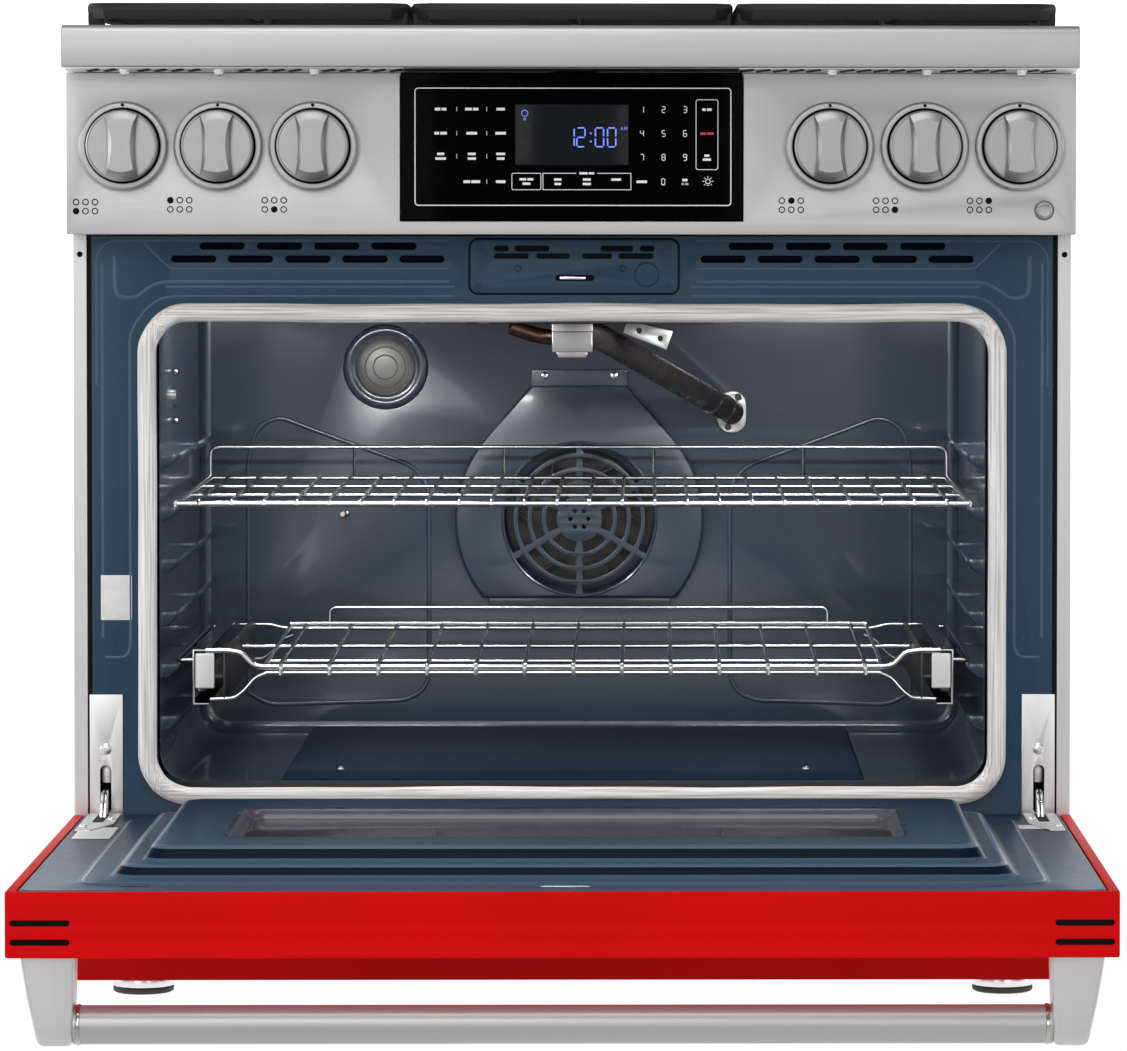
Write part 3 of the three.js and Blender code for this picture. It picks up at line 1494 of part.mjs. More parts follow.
// A knob: a rounded dial with two sunken cheeks beside a waisted grip bar
function knob() {
  const backY = panelFrontY - dialGap;
  const rimY = backY - dialDepth;
  const profile = [
    [0, 0],
    [dialRadius, 0],
    [dialRadius, dialDepth - dialEdgeRound],
    [dialRadius - dialEdgeRound, dialDepth],
    [dialRadius - dialEdgeRound - dialEdgeRound, dialDepth],
    [dialRadius - dialEdgeRound - dialEdgeRound - dialEdgeRound, dialDepth - dialCheekSink],
    [0, dialDepth - dialCheekSink],
  ];
  const facing = profile.map(([radius, height]) => [radius, -height]).reverse();
  const body = turned("y", facing, knobSides, 0, backY, 0);
  const waist = [];
  const steps = 4;
  for (let step = 0; step <= steps; step += 1) {
    const along = step / steps;
    const z = (along * 2 - 1) * gripHalfLength;
    const x = gripHalfWidth - gripWaist * Math.sin(along * Math.PI);
    waist.push([x, z]);
  }
  const grip = waist.concat(waist.map(([x, z]) => [-x, z]).reverse());
  const gripFront = rimY + dialCheekSink - gripRise;
  const bar = prism("y", grip, gripFront, rimY + dialCheekSink + sheet);
  const round = turned("y",
    [
      [0, gripFront - overrun],
      [dialRadius - dialEdgeRound - gripRise / 2, gripFront - overrun],
      [dialRadius - dialEdgeRound / 2, rimY],
      [dialRadius - dialEdgeRound / 2, backY],
      [0, backY],
    ],
    knobSides, 0, 0, 0);
  const bore = rod([0, rimY + dialCheekSink, 0], [0, backY + overrun, 0], stemRadius + seat,
    roundSides);
  return cut(join([body, bar.intersect(round)]), [bore]);
}

function lightButton() {
  const flangeFront = panelSheet + seat;
  const profile = [
    [0, -buttonProud],
    [buttonRadius - seat, -buttonProud],
    [buttonRadius, -buttonProud + seat],
    [buttonRadius, flangeFront],
    [buttonFlangeRadius, flangeFront],
    [buttonFlangeRadius, flangeFront + buttonFlangeThickness],
    [buttonRadius / 2, flangeFront + buttonFlangeThickness],
    [buttonRadius / 2, flangeFront + buttonStemDepth],
    [0, flangeFront + buttonStemDepth],
  ];
  return turned("y", profile, burnerSides, 0, 0, 0);
}

// Racks
function upperRack() {
  const railZ = topRung(upperRackRung) + seat + railRadius;
  const pieces = [];
  for (const side of [-1, 1]) {
    pieces.push(rod([side * rackHalfWidth, rackFrontY, railZ],
      [side * rackHalfWidth, rackBackY, railZ], railRadius, wireSides));
  }
  const wireZ = railZ + railRadius;
  const under = wireZ - crossRadius - weld;
  for (let index = 0; index < upperCrossCount; index += 1) {
    const atEnd = index === 0 || index === upperCrossCount - 1;
    const y = rackFrontY + (index / (upperCrossCount - 1)) * (rackBackY - rackFrontY);
    const z = atEnd ? railZ : under;
    pieces.push(rod([-rackHalfWidth, y, z], [rackHalfWidth, y, z],
      index === 0 ? railRadius : crossRadius, wireSides));
  }
  for (let index = 0; index < upperWireCount; index += 1) {
    const x = (index - (upperWireCount - 1) / 2) * upperWirePitch;
    pieces.push(rod([x, rackFrontY, wireZ], [x, rackBackY, wireZ], wireRadius, wireSides - 2));
  }
  const guardZ = railZ + upperGuardRise;
  pieces.push(wire(
    [
      [-rackHalfWidth, rackBackY, railZ],
      [-rackHalfWidth, rackBackY, guardZ],
      [rackHalfWidth, rackBackY, guardZ],
      [rackHalfWidth, rackBackY, railZ],
    ],
    crossRadius, wireSides));
  for (let index = -guardPostsPerSide; index <= guardPostsPerSide; index += 1) {
    pieces.push(rod([index * upperGuardPitch, rackBackY, railZ],
      [index * upperGuardPitch, rackBackY, guardZ], wireRadius, wireSides - 2));
  }
  return join(pieces);
}

// A fixed glide rail: a channel hooked over a rack ledge by a bent wire at its front and back
function glideRail() {
  const hookZ = topRung(glideRung) + seat + crossRadius;
  const innerX = glideOuterX - glideChannelWidth;
  const channel = [
    [innerX, glideChannelBottom],
    [glideOuterX, glideChannelBottom],
    [glideOuterX, glideChannelTop],
    [innerX, glideChannelTop],
    [innerX, glideChannelTop - sheet],
    [glideOuterX - sheet, glideChannelTop - sheet],
    [glideOuterX - sheet, glideChannelBottom + sheet],
    [innerX, glideChannelBottom + sheet],
  ];
  const pieces = [prism("y", channel, glideFrontY, glideBackY)];
  const hookX = cavityHalfWidth - rungReach + railRadius;
  pieces.push(wire(
    [
      [glideOuterX - sheet / 2, glideFrontY + railRadius, hookZ],
      [hookX, glideFrontY + railRadius, hookZ],
      [hookX, glideBackY - railRadius, hookZ],
      [glideOuterX - sheet / 2, glideBackY - railRadius, hookZ],
    ],
    crossRadius, wireSides));
  return join(pieces);
}

// The sliding rack: a wire grid hung between two slides that run in the channels
function lowerRack() {
  const pieces = [];
  const slideOuter = glideOuterX - sheet - slideGap;
  const slideInner = slideOuter - slideWidth;
  const channelMid = (glideChannelBottom + glideChannelTop) / 2;
  const frontY = glideFrontY + frontTabThickness;
  for (const side of [-1, 1]) {
    const ends = [side * slideInner, side * slideOuter];
    pieces.push(block(Math.min(...ends), Math.max(...ends), frontY, glideBackY - seat,
      channelMid - slideHalfHeight, channelMid + slideHalfHeight));
    const tabOuter = side * (glideOuterX - sheet - seat);
    const tabInner = side * (slideInner - slideWidth);
    pieces.push(block(Math.min(tabInner, tabOuter), Math.max(tabInner, tabOuter),
      glideFrontY - frontTabThickness, glideFrontY - seat, lowerUpperEndZ - frontTabHeight,
      lowerUpperEndZ - crossRadius));
    const carriage = [side * carriageX, side * (slideInner + sheet)];
    pieces.push(block(Math.min(...carriage), Math.max(...carriage), glideFrontY - frontTabThickness,
      glideBackY - seat, channelMid - carriageThickness, channelMid + carriageThickness));
    const cheek = [side * (carriageX - carriageThickness), side * carriageX];
    pieces.push(block(Math.min(...cheek), Math.max(...cheek), glideFrontY - frontTabThickness,
      glideBackY - seat, lowerLowerEndZ, lowerUpperEndZ));
  }
  const fork = carriageX - lowerGridHalfWidth;
  for (const y of [glideFrontY, glideBackY - railRadius]) {
    for (const [endZ, midZ, radius] of [
      [lowerUpperEndZ - railRadius, lowerGridZ, railRadius],
      [lowerLowerEndZ + railRadius, lowerGridZ - railRadius - railRadius, crossRadius],
    ]) {
      pieces.push(wire(
        [
          [-carriageX + sheet, y, endZ],
          [-carriageX + fork / 3, y, endZ],
          [-lowerGridHalfWidth, y, midZ],
          [lowerGridHalfWidth, y, midZ],
          [carriageX - fork / 3, y, endZ],
          [carriageX - sheet, y, endZ],
        ],
        radius, wireSides));
    }
  }
  const wireZ = lowerGridZ + railRadius - weld;
  for (let index = 0; index < lowerWireCount; index += 1) {
    const x = (index - (lowerWireCount - 1) / 2) * lowerWirePitch;
    pieces.push(rod([x, glideFrontY, wireZ], [x, glideBackY - railRadius, wireZ], wireRadius,
      wireSides - 2));
  }
  const middleY = (glideFrontY + glideBackY) / 2;
  const underWire = wireZ - crossRadius - weld;
  pieces.push(rod([-carriageX + sheet, middleY, underWire], [carriageX - sheet, middleY, underWire],
    crossRadius, wireSides));
  const nearY = glideFrontY + nearCrossGap;
  pieces.push(rod([-lowerGridHalfWidth, nearY, underWire], [lowerGridHalfWidth, nearY, underWire],
    crossRadius, wireSides));
  const guardY = glideBackY - railRadius;
  pieces.push(wire(
    [
      [-lowerGuardHalfWidth, guardY, lowerGridZ],
      [-lowerGuardHalfWidth, guardY, lowerGridZ + lowerGuardRise],
      [lowerGuardHalfWidth, guardY, lowerGridZ + lowerGuardRise],
      [lowerGuardHalfWidth, guardY, lowerGridZ],
    ],
    crossRadius, wireSides));
  return join(pieces);
}

// Door, modelled open: its inner face looks up
function doorSkin() {
  const outer = (inset) => roundedRect(-halfWidth + inset, halfWidth - inset,
    doorNearY + inset, doorFarY - inset, doorEdgeRound, 2);
  const shell = stackUp([
    [outer(doorEdgeRound), doorOuterZ],
    [outer(doorEdgeRound / 4), doorOuterZ + doorEdgeRound / 3],
    [outer(0), doorOuterZ + doorEdgeRound],
    [outer(0), doorRimZ - rimRound],
    [outer(rimRound), doorRimZ],
  ]);
  const tub = block(-halfWidth + sheet, halfWidth - sheet, doorNearY + sheet, doorFarY - sheet,
    doorOuterZ + sheet, doorRimZ - sheet);
  const mouth = block(-halfWidth + rimFlangeWidth, halfWidth - rimFlangeWidth,
    doorNearY + rimFlangeWidth / 2, doorFarY - doorEdgeRound, doorRimZ - overrun,
    doorRimZ + overrun);
  const cuts = [tub, mouth];
  cuts.push(prism("z",
    roundedRect(-windowHalfWidth + outerWindowMargin, windowHalfWidth - outerWindowMargin,
      windowNearY + outerWindowMargin, windowFarY - outerWindowMargin, windowCorner, 3),
    doorOuterZ - overrun, doorOuterZ + overrun));
  for (const side of [-1, 1]) {
    const centreX = side * (halfWidth - doorSlotInset - doorSlotWidth / 2);
    for (const drop of [upperDoorSlotDrop, lowerDoorSlotDrop]) {
      cuts.push(prism("y", slotOutline(centreX, doorRimZ - drop, doorSlotWidth, doorSlotHeight),
        doorNearY - overrun, doorNearY + overrun));
    }
  }
  return cut(shell, cuts);
}

function linerOutline(halfX, nearY, farY, corner) {
  return roundedRect(-halfX, halfX, nearY, farY, corner, 4);
}

// The liner's levels: rim, sealing land, step and plateau, each a shallow slope above the last
function linerLevels(lower, shrink) {
  const rimX = halfWidth - rimFlangeWidth - linerInset - shrink;
  const rimNear = doorNearY + rimFlangeWidth / 2 + linerInset + shrink;
  const rimFar = doorFarY - doorEdgeRound - linerInset - shrink;
  const beadNear = doorNearY + linerBeadFrontGap;
  const beadFar = doorFarY - linerBeadFrontGap;
  const z = doorRimZ - lower;
  return [
    [linerOutline(rimX, rimNear, rimFar, linerCorner / 4), z - sheet + lower * 2],
    [linerOutline(rimX, rimNear, rimFar, linerCorner / 4), z],
  ].concat([
    [linerOutline(linerBeadX - shrink, beadNear + shrink, beadFar - shrink, linerCorner), z],
    [linerOutline(linerBeadX - linerBeadSlope - shrink, beadNear + linerBeadSlope + shrink,
      beadFar - linerBeadSlope - shrink, linerCorner), z + linerBeadRise],
    [linerOutline(linerStepX - shrink, linerStepNearY + shrink, linerStepFarY - shrink,
      linerCorner), z + linerBeadRise],
    [linerOutline(linerStepX - linerStepSlope - shrink, linerStepNearY + linerStepSlope + shrink,
      linerStepFarY - linerStepSlope - shrink, linerCorner), z + linerStepRise],
    [linerOutline(plateauX - shrink, plateauNearY + shrink, plateauFarY - shrink,
      linerCorner - plateauSlope), z + linerStepRise],
    [linerOutline(plateauX - plateauSlope - shrink, plateauNearY + plateauSlope + shrink,
      plateauFarY - plateauSlope - shrink, linerCorner - plateauSlope), z + plateauRise],
  ]);
}

function windowOutline(grow) {
  return roundedRect(-windowHalfWidth - grow, windowHalfWidth + grow, windowNearY - grow,
    windowFarY + grow, windowCorner, 3);
}

function doorLiner() {
  const upper = stackUp(linerLevels(0, 0));
  const belowLevels = linerLevels(sheet, sheet).slice(2);
  const below = stackUp([
    [belowLevels[0][0], doorRimZ - sheet - overrun],
    ...belowLevels.slice(1),
  ]);
  const plateauZ = doorRimZ + plateauRise;
  const glassSeat = plateauZ - windowSink;
  const funnel = stackUp([
    [windowOutline(sheet), glassSeat],
    [windowOutline(windowSlope + sheet), plateauZ - sheet / 2],
  ]);
  const view = stackUp([
    [windowOutline(0), glassSeat - overrun],
    [windowOutline(0), glassSeat],
    [windowOutline(windowSlope), plateauZ],
    [windowOutline(windowSlope), plateauZ + overrun],
  ]);
  const cuts = [view];
  const slotHalf = cheekHalfGap + cheekThickness + seat + seat;
  for (const side of [-1, 1]) {
    cuts.push(block(side * receiverSlotX - slotHalf, side * receiverSlotX + slotHalf,
      doorFarY - doorEdgeRound - hingeSlotLength - doorEdgeRound - panelSheet,
      doorFarY, doorRimZ - overrun, doorRimZ + overrun));
  }
  const latchY = pivotDifference - latchZ;
  cuts.push(block(-latchSlotHalfWidth, latchSlotHalfWidth, latchY - latchSlotHeight / 2,
    latchY + latchSlotHeight / 2, doorRimZ - overrun, doorRimZ + overrun));
  return cut(join([upper.subtract(below), funnel]), cuts);
}

function doorGlass() {
  const top = doorRimZ + plateauRise - windowSink - seat;
  return prism("z", windowOutline(glassMargin), top - glassThickness, top);
}

function doorOuterGlass() {
  const bottom = doorOuterZ + sheet + seat;
  return prism("z", windowOutline(glassMargin), bottom, bottom + glassThickness);
}

function doorHandle() {
  const barZ = doorOuterZ - handleDrop;
  const mountZ = doorOuterZ - seat;
  const pieces = [rod([-handleBracketX, handleBarY, barZ], [handleBracketX, handleBarY, barZ],
    handleRadius, handleSides)];
  for (const side of [-1, 1]) {
    const centre = side * handleBracketX;
    const innerTop = centre - side * handleBracketHalfTop;
    const outerTop = centre + side * handleBracketHalfTop;
    const innerEnd = centre - side * (handleBracketHalfTop - sheet);
    const outerEnd = innerEnd + side * (handleBracketHalfEnd + handleBracketHalfEnd);
    const outline = [
      [innerTop, mountZ],
      [outerTop, mountZ],
      [outerEnd, barZ - handleRadius],
      [innerEnd, barZ - handleRadius],
    ];
    pieces.push(prism("y", outline, handleBarY - handleBracketDepth / 2,
      handleBarY + handleBracketDepth / 2));
  }
  return join(pieces);
}

function doorLatch() {
  const half = latchThickness / 2;
  return block(-latchHalfWidth, latchHalfWidth, -latchPanelRise + seat, latchDepth,
    latchZ - half, latchZ + half);
}

// Assembly
const body = new THREE.Group();
body.add(meshOf("base_frame", baseFrame(), galvanised));
addPair(body, "side_panel", sidePanel(), stainless);
body.add(meshOf("back_panel", backPanel(), galvanised));
body.add(meshOf("kick_panel", kickPanel(), redEnamel));
body.add(meshOf("front_frame", frontFrame(), blueEnamel));
const legSolid = leg();
for (const [rowName, y] of [["front", legFrontY], ["rear", backPanelY - legRearInset]]) {
  for (const [sideName, side] of [["left", -1], ["right", 1]]) {
    const mesh = meshOf("leg_" + rowName + "_" + sideName, legSolid, chrome);
    mesh.position.set(side * (halfWidth - legInsetX), y, 0);
    body.add(mesh);
  }
}

const oven = new THREE.Group();
oven.add(meshOf("oven_cavity", ovenCavity(), cavityEnamel));
oven.add(meshOf("oven_floor_cover", ovenFloorCover(), cavityEnamel));
oven.add(meshOf("oven_gasket", ovenGasket(), fibreglass));
oven.add(meshOf("broil_burner", broilBurner(), darkSteel));
oven.add(meshOf("bake_burner", bakeBurner(), darkSteel));
oven.add(meshOf("fan_cover", fanCover(), cavityEnamel));
oven.add(meshOf("convection_fan", convectionFan(), darkSteel));
oven.add(meshOf("fan_motor", fanMotor(), galvanised));
oven.add(meshOf("oven_lamp", ovenLamp(), frosted));
oven.add(meshOf("upper_rack", upperRack(), chrome));
oven.add(meshOf("lower_rack", lowerRack(), chrome));
addPair(oven, "glide_rail", glideRail(), darkSteel);
addPair(oven, "hinge_receiver", hingeReceiver(), galvanised);
oven.add(meshOf("door_latch", doorLatch(), galvanised));

const cooktop = new THREE.Group();
cooktop.add(meshOf("cooktop_tray", cooktopTray(), stainless));
cooktop.add(meshOf("bullnose", bullnose(), stainless));
const burnerSolid = topBurner();
const grateSolid = grate();
for (const [columnName, column] of [["left", -1], ["middle", 0], ["right", 1]]) {
  for (const [rowName, y] of [["front", frontBurnerY], ["rear", rearBurnerY]]) {
    const mesh = meshOf("burner_" + rowName + "_" + columnName, burnerSolid, castIron);
    mesh.position.set(column * burnerPitchX, y, basinFloor);
    cooktop.add(mesh);
  }
  const mesh = meshOf("grate_" + columnName, grateSolid, castIron);
  mesh.position.set(column * (grateWidth + sheet), 0, 0);
  cooktop.add(mesh);
}

const controls = new THREE.Group();
controls.add(meshOf("control_panel", controlPanel(), stainless));
controls.add(meshOf("touch_panel", touchPanel(), blackGlass));
controls.add(meshOf("gas_manifold", gasManifold(), brass));
const knobSolid = knob();
const stemSolid = valveStem();
for (const [index, x] of knobXs.entries()) {
  const knobMesh = meshOf("knob_" + (index + 1), knobSolid, stainless);
  knobMesh.position.set(x, 0, knobZ);
  const stemMesh = meshOf("valve_stem_" + (index + 1), stemSolid, brass);
  stemMesh.position.set(x, 0, knobZ);
  controls.add(knobMesh, stemMesh);
}
const button = meshOf("light_button", lightButton(), stainless);
button.position.set(buttonX, panelFrontY, buttonZ);
controls.add(button);

const door = new THREE.Group();
door.add(meshOf("door_skin", doorSkin(), redEnamel));
door.add(meshOf("door_liner", doorLiner(), blueEnamel));
door.add(meshOf("door_glass", doorGlass(), clearGlass));
door.add(meshOf("door_outer_glass", doorOuterGlass(), blackGlass));
door.add(meshOf("door_handle", doorHandle(), stainless));
addPair(door, "door_hinge", doorHinge(), galvanised);

range.add(body, oven, cooktop, controls, door);
range.position.y = (doorReach - bodyDepth) / 2;

export default range;
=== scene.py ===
import bpy
import bmesh
from math import acos, asin, atan2, cos, degrees, hypot, pi, radians, sin, sqrt
from mathutils import Matrix, Vector


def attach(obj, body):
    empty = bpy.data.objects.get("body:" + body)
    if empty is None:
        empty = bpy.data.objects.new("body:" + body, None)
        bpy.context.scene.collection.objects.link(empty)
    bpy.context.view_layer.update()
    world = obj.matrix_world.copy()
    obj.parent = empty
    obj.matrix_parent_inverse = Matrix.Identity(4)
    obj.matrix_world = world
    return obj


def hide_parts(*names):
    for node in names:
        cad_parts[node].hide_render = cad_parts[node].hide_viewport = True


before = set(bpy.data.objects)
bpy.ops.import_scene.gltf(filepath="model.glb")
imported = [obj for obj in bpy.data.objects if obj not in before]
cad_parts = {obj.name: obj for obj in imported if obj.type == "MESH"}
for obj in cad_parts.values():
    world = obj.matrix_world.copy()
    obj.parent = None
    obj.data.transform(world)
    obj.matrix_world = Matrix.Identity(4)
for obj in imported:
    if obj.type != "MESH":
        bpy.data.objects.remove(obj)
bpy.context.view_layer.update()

# Lengths below are millimetres, with y = 0 at the face of the oven's front frame.
SHIFT_Y = -14.8
MM = 0.001
SIDES = (-1, 1)
HANDS = (("left", -1), ("right", 1))
HALF_BODY = 455
HINGE_X = 426.5


def arc(a, b, r, start, end, n):
    """Points on a circle round (a, b), from one angle to the other in degrees."""
    turns = [radians(start + (end - start) * i / n) for i in range(n + 1)]
    return [(a + r * cos(t), b + r * sin(t)) for t in turns]


def circle(a, b, r, n=32):
    return arc(a, b, r, 0, 360, n)[:-1]


def hoop(x, y, z, r, n):
    """A circle that faces the front."""
    return [(x + b, y, z + a) for a, b in circle(0, 0, r, n)]


def rounded(a0, a1, b0, b1, r, n=6):
    """A rectangle with rounded corners."""
    a0, a1 = sorted((a0, a1))
    corners = ((a1 - r, b0 + r, -90), (a1 - r, b1 - r, 0), (a0 + r, b1 - r, 90), (a0 + r, b0 + r, 180))
    return [p for a, b, t in corners for p in arc(a, b, r, t, t + 90, n)]


def obround(a, b, w, h, n=5):
    return rounded(a - w / 2, a + w / 2, b - h / 2, b + h / 2, min(w, h) / 2 - 0.01, n)


def fillet(points, r, n=5):
    """The polyline with each inner corner turned into a small arc."""
    pts = [Vector(p) for p in points]
    out = [pts[0]]
    for before, p, after in zip(pts, pts[1:], pts[2:]):
        to_b, to_a = before - p, after - p
        reach = min(r, to_b.length * 0.49, to_a.length * 0.49)
        start, end = p + to_b.normalized() * reach, p + to_a.normalized() * reach
        for i in range(n + 1):
            t = i / n
            out.append(start * (1 - t) ** 2 + p * 2 * t * (1 - t) + end * t * t)
    return out + pts[-1:]


class Piece:
    """Forms in millimetres, joined into one mesh with several materials."""

    def __init__(self):
        self.bm = bmesh.new()

    def add(self, form, mat):
        for face in form.faces:
            face.material_index = face.material_index or mat
        mesh = bpy.data.meshes.new("form")
        form.to_mesh(mesh)
        form.free()
        self.bm.from_mesh(mesh)
        bpy.data.meshes.remove(mesh)

    def rings(self, rings, mat=0, caps=True, loop=False, bands=None):
        """A skin over equal rings of points; bands gives some of its strips another material."""
        form = bmesh.new()
        row = first = [form.verts.new(p) for p in rings[0]]
        edges = [form.edges.new(pair) for pair in zip(row, row[1:] + row[:1])]
        for k, ring in enumerate(rings[1:] + rings[:1] * loop):
            made = set(bmesh.ops.extrude_edge_only(form, edges=edges)["geom"])
            row = [next(e.other_vert(v) for e in v.link_edges if e.other_vert(v) in made) for v in row]
            edges = [form.edges.get(pair) for pair in zip(row, row[1:] + row[:1])]
            for v, p in zip(row, ring):
                v.co = p
            for face in made:
                if isinstance(face, bmesh.types.BMFace):
                    face.material_index = bands.get(k, 0) if bands else 0
        if loop:
            bmesh.ops.weld_verts(form, targetmap=dict(zip(row, first)))
        elif caps:
            bmesh.ops.holes_fill(form, edges=form.edges[:], sides=0)
        self.add(form, mat)

    def box(self, x0, x1, y0, y1, z0, z1, bevel=0.0, mat=0, segments=2):
        low, high = Vector((min(x0, x1), y0, z0)), Vector((max(x0, x1), y1, z1))
        place = Matrix.Translation((low + high) / 2) @ Matrix.Diagonal((high - low).to_4d())
        form = bmesh.new()
        bmesh.ops.create_cube(form, size=1, matrix=place)
        if bevel:
            bmesh.ops.bevel(form, geom=form.edges[:], offset=bevel, offset_type="OFFSET", profile=0.5,
                            segments=segments, affect="EDGES", clamp_overlap=True, material=-1)
        self.add(form, mat)

    def plate(self, axis, outline, t0, t1, holes=(), bevel=0.6, mat=0, steps=2):
        """A flat plate with rounded edges: outline in (x, z) for axis y, (x, y) for z, (y, z) for x."""
        t0, t1 = sorted((t0, t1))
        bevel = min(bevel, (t1 - t0) * 0.45)
        curve = bpy.data.curves.new("plate", "CURVE")
        curve.dimensions = "2D"
        curve.fill_mode = "BOTH"
        for path in (outline, *holes):
            spline = curve.splines.new("POLY")
            spline.points.add(len(path) - 1)
            for point, (a, b) in zip(spline.points, path):
                point.co = (a, b, 0, 1)
            spline.use_cyclic_u = True
        curve.extrude = (t1 - t0) / 2 - bevel
        curve.bevel_depth = bevel
        curve.bevel_resolution = steps
        curve.offset = -bevel
        flat = bpy.data.objects.new("plate", curve)
        bpy.context.scene.collection.objects.link(flat)
        mesh = bpy.data.meshes.new_from_object(flat.evaluated_get(bpy.context.evaluated_depsgraph_get()))
        bpy.data.objects.remove(flat)
        bpy.data.curves.remove(curve)
        form = bmesh.new()
        form.from_mesh(mesh)
        bpy.data.meshes.remove(mesh)
        for layer in form.loops.layers.uv.values():
            form.loops.layers.uv.remove(layer)
        turn = {"x": ((0, 0, 1), (1, 0, 0), (0, 1, 0)), "y": ((1, 0, 0), (0, 0, -1), (0, 1, 0)),
                "z": ((1, 0, 0), (0, 1, 0), (0, 0, 1))}[axis]
        middle = [(t0 + t1) / 2 * (axis == a) for a in "xyz"]
        place = Matrix.Translation(middle) @ Matrix(turn).to_4x4()
        bmesh.ops.transform(form, matrix=place, verts=form.verts[:])
        bmesh.ops.remove_doubles(form, verts=form.verts[:], dist=0.001)
        self.add(form, mat)

    def lathe(self, axis, profile, centre, n=48, mat=0, caps=False):
        """A turned form: profile points are (radius, distance along the axis)."""
        form = bmesh.new()
        points = [form.verts.new({"x": (h, r, 0), "y": (0, h, r), "z": (r, 0, h)}[axis]) for r, h in profile]
        edges = [form.edges.new(pair) for pair in zip(points, points[1:])]
        bmesh.ops.spin(form, geom=points + edges, cent=(0, 0, 0), axis=[float(axis == a) for a in "xyz"],
                       dvec=(0, 0, 0), angle=2 * pi, steps=n, use_merge=True)
        if caps:
            bmesh.ops.holes_fill(form, edges=form.edges[:], sides=0)
        bmesh.ops.translate(form, vec=centre, verts=form.verts[:])
        self.add(form, mat)

    def tube(self, points, r, n=12, mat=0, section=None, loop=False, up=None):
        """A round wire, or another section of (sideways, upwards) points, swept along a path."""
        pts = [Vector(p) for p in points]
        last = len(pts) - 1
        rings = []
        side = None
        for k, p in enumerate(pts):
            before = pts[k - 1] if (k or loop) else p
            after = pts[(k + 1) % len(pts)] if (k < last or loop) else p
            d_in = (p - before).normalized() if before != p else (after - p).normalized()
            d_out = (after - p).normalized() if after != p else d_in
            along = (d_in + d_out).normalized()
            if up is not None:
                side = along.cross(Vector(up)).normalized()
            elif side is None:
                guess = Vector((0, 0, 1)) if abs(along.z) < 0.9 else Vector((1, 0, 0))
                side = along.cross(guess).normalized()
            else:
                side = (side - along * side.dot(along)).normalized()
            top = side.cross(along).normalized()
            # the section is stretched across a bend, so that the wire keeps its thickness
            stretch = 1 / max(0.5, sqrt(max(0.0, (1 + d_in.dot(d_out)) / 2)))
            bend = (d_out - d_in).normalized() * (stretch - 1)
            ring = [side * a + top * b for a, b in section or circle(0, 0, r, n)]
            axis = (d_out - d_in).normalized()
            rings.append([p + q + bend * q.dot(axis) for q in ring])
        self.rings(rings, mat, True, loop)

    def across(self, half, y, z, r, n=12):
        self.tube([(-half, y, z), (half, y, z)], r, n)

    def ball(self, centre, r, mat=0, squash=(1, 1, 1), n=16):
        form = bmesh.new()
        bmesh.ops.create_uvsphere(form, u_segments=n, v_segments=n // 2, radius=r,
                                  matrix=Matrix.Translation(centre) @ Matrix.Diagonal((*squash, 1)))
        self.add(form, mat)

    def screw(self, x, y, z, r, axis="y", mat=0, side=-1):
        """A pan-head screw with a recess, seen from the side it points to."""
        h = r * 0.55 * side
        self.lathe(axis, [(r * 0.99, 0), (r, h * 0.35), (r * 0.85, h * 0.8), (r * 0.45, h),
                          (r * 0.42, h * 0.55), (0.01, h * 0.5)], (x, y, z), 20, mat)

    def done(self, name, body, mats, slot, replaces=(), sharp=38):
        bm = self.bm
        bmesh.ops.recalc_face_normals(bm, faces=bm.faces[:])
        for f in bm.faces:
            f.smooth = True
        for e in bm.edges:
            e.smooth = len(e.link_faces) == 2 and e.calc_face_angle(0) <= radians(sharp)
        place = Matrix.Scale(MM, 4) @ Matrix.Translation((0, SHIFT_Y, 0))
        bmesh.ops.transform(bm, matrix=place, verts=bm.verts[:])
        mesh = bpy.data.meshes.new(name)
        bm.to_mesh(mesh)
        bm.free()
        for mat in mats:
            mesh.materials.append(mat)
        obj = bpy.data.objects.new(name, mesh)
        bpy.context.scene.collection.objects.link(obj)
        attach(obj, body)
        if replaces:
            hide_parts(*replaces)


# Materials
def fill(sockets, values):
    for key, value in values.items():
        sockets[key.replace("_", " ")].default_value = value


def shader(name, color, metallic, rough, **more):
    mat = bpy.data.materials.new(name)
    mat.use_nodes = True
    sockets = mat.node_tree.nodes["Principled BSDF"].inputs
    fill(sockets, {"Base_Color": (*color, 1), "Metallic": metallic, "Roughness": rough, **more})
    return mat, mat.node_tree, sockets


def node(tree, kind, socket=None, source=None, **values):
    made = tree.nodes.new("ShaderNode" + kind)
    fill(made.inputs, values)
    if source:
        tree.links.new(source, made.inputs[socket])
    return made


def noise(tree, scale, stretch=(1, 1, 1), detail=3.0):
    place = node(tree, "TexCoord").outputs["Object"]
    place = node(tree, "Mapping", "Vector", place, Scale=stretch).outputs["Vector"]
    return node(tree, "TexNoise", "Vector", place, Scale=scale, Detail=detail, Roughness=0.5).outputs["Fac"]


def spread(tree, fac, low, high, f0=0.3, f1=0.7):
    made = node(tree, "MapRange", "Value", fac, From_Min=f0, From_Max=f1, To_Min=low, To_Max=high)
    return made.outputs["Result"]


def depth(tree, low, high, y0, y1):
    """A value that goes from low to high between two depths, in metres."""
    split = node(tree, "SeparateXYZ", "Vector", node(tree, "TexCoord").outputs["Object"])
    return spread(tree, split.outputs["Y"], low, high, y0, y1)


def tint(tree, fac, dark, light, f0=0.3, f1=0.7):
    ramp = node(tree, "ValToRGB", "Fac", fac)
    for stop, place, color in zip(ramp.color_ramp.elements, (f0, f1), (dark, light)):
        stop.position = place
        stop.color = (*color, 1)
    return ramp.outputs["Color"]


def shades(color, down, up):
    return [c * (1 - down) for c in color], [min(1, c * (1 + up)) for c in color]


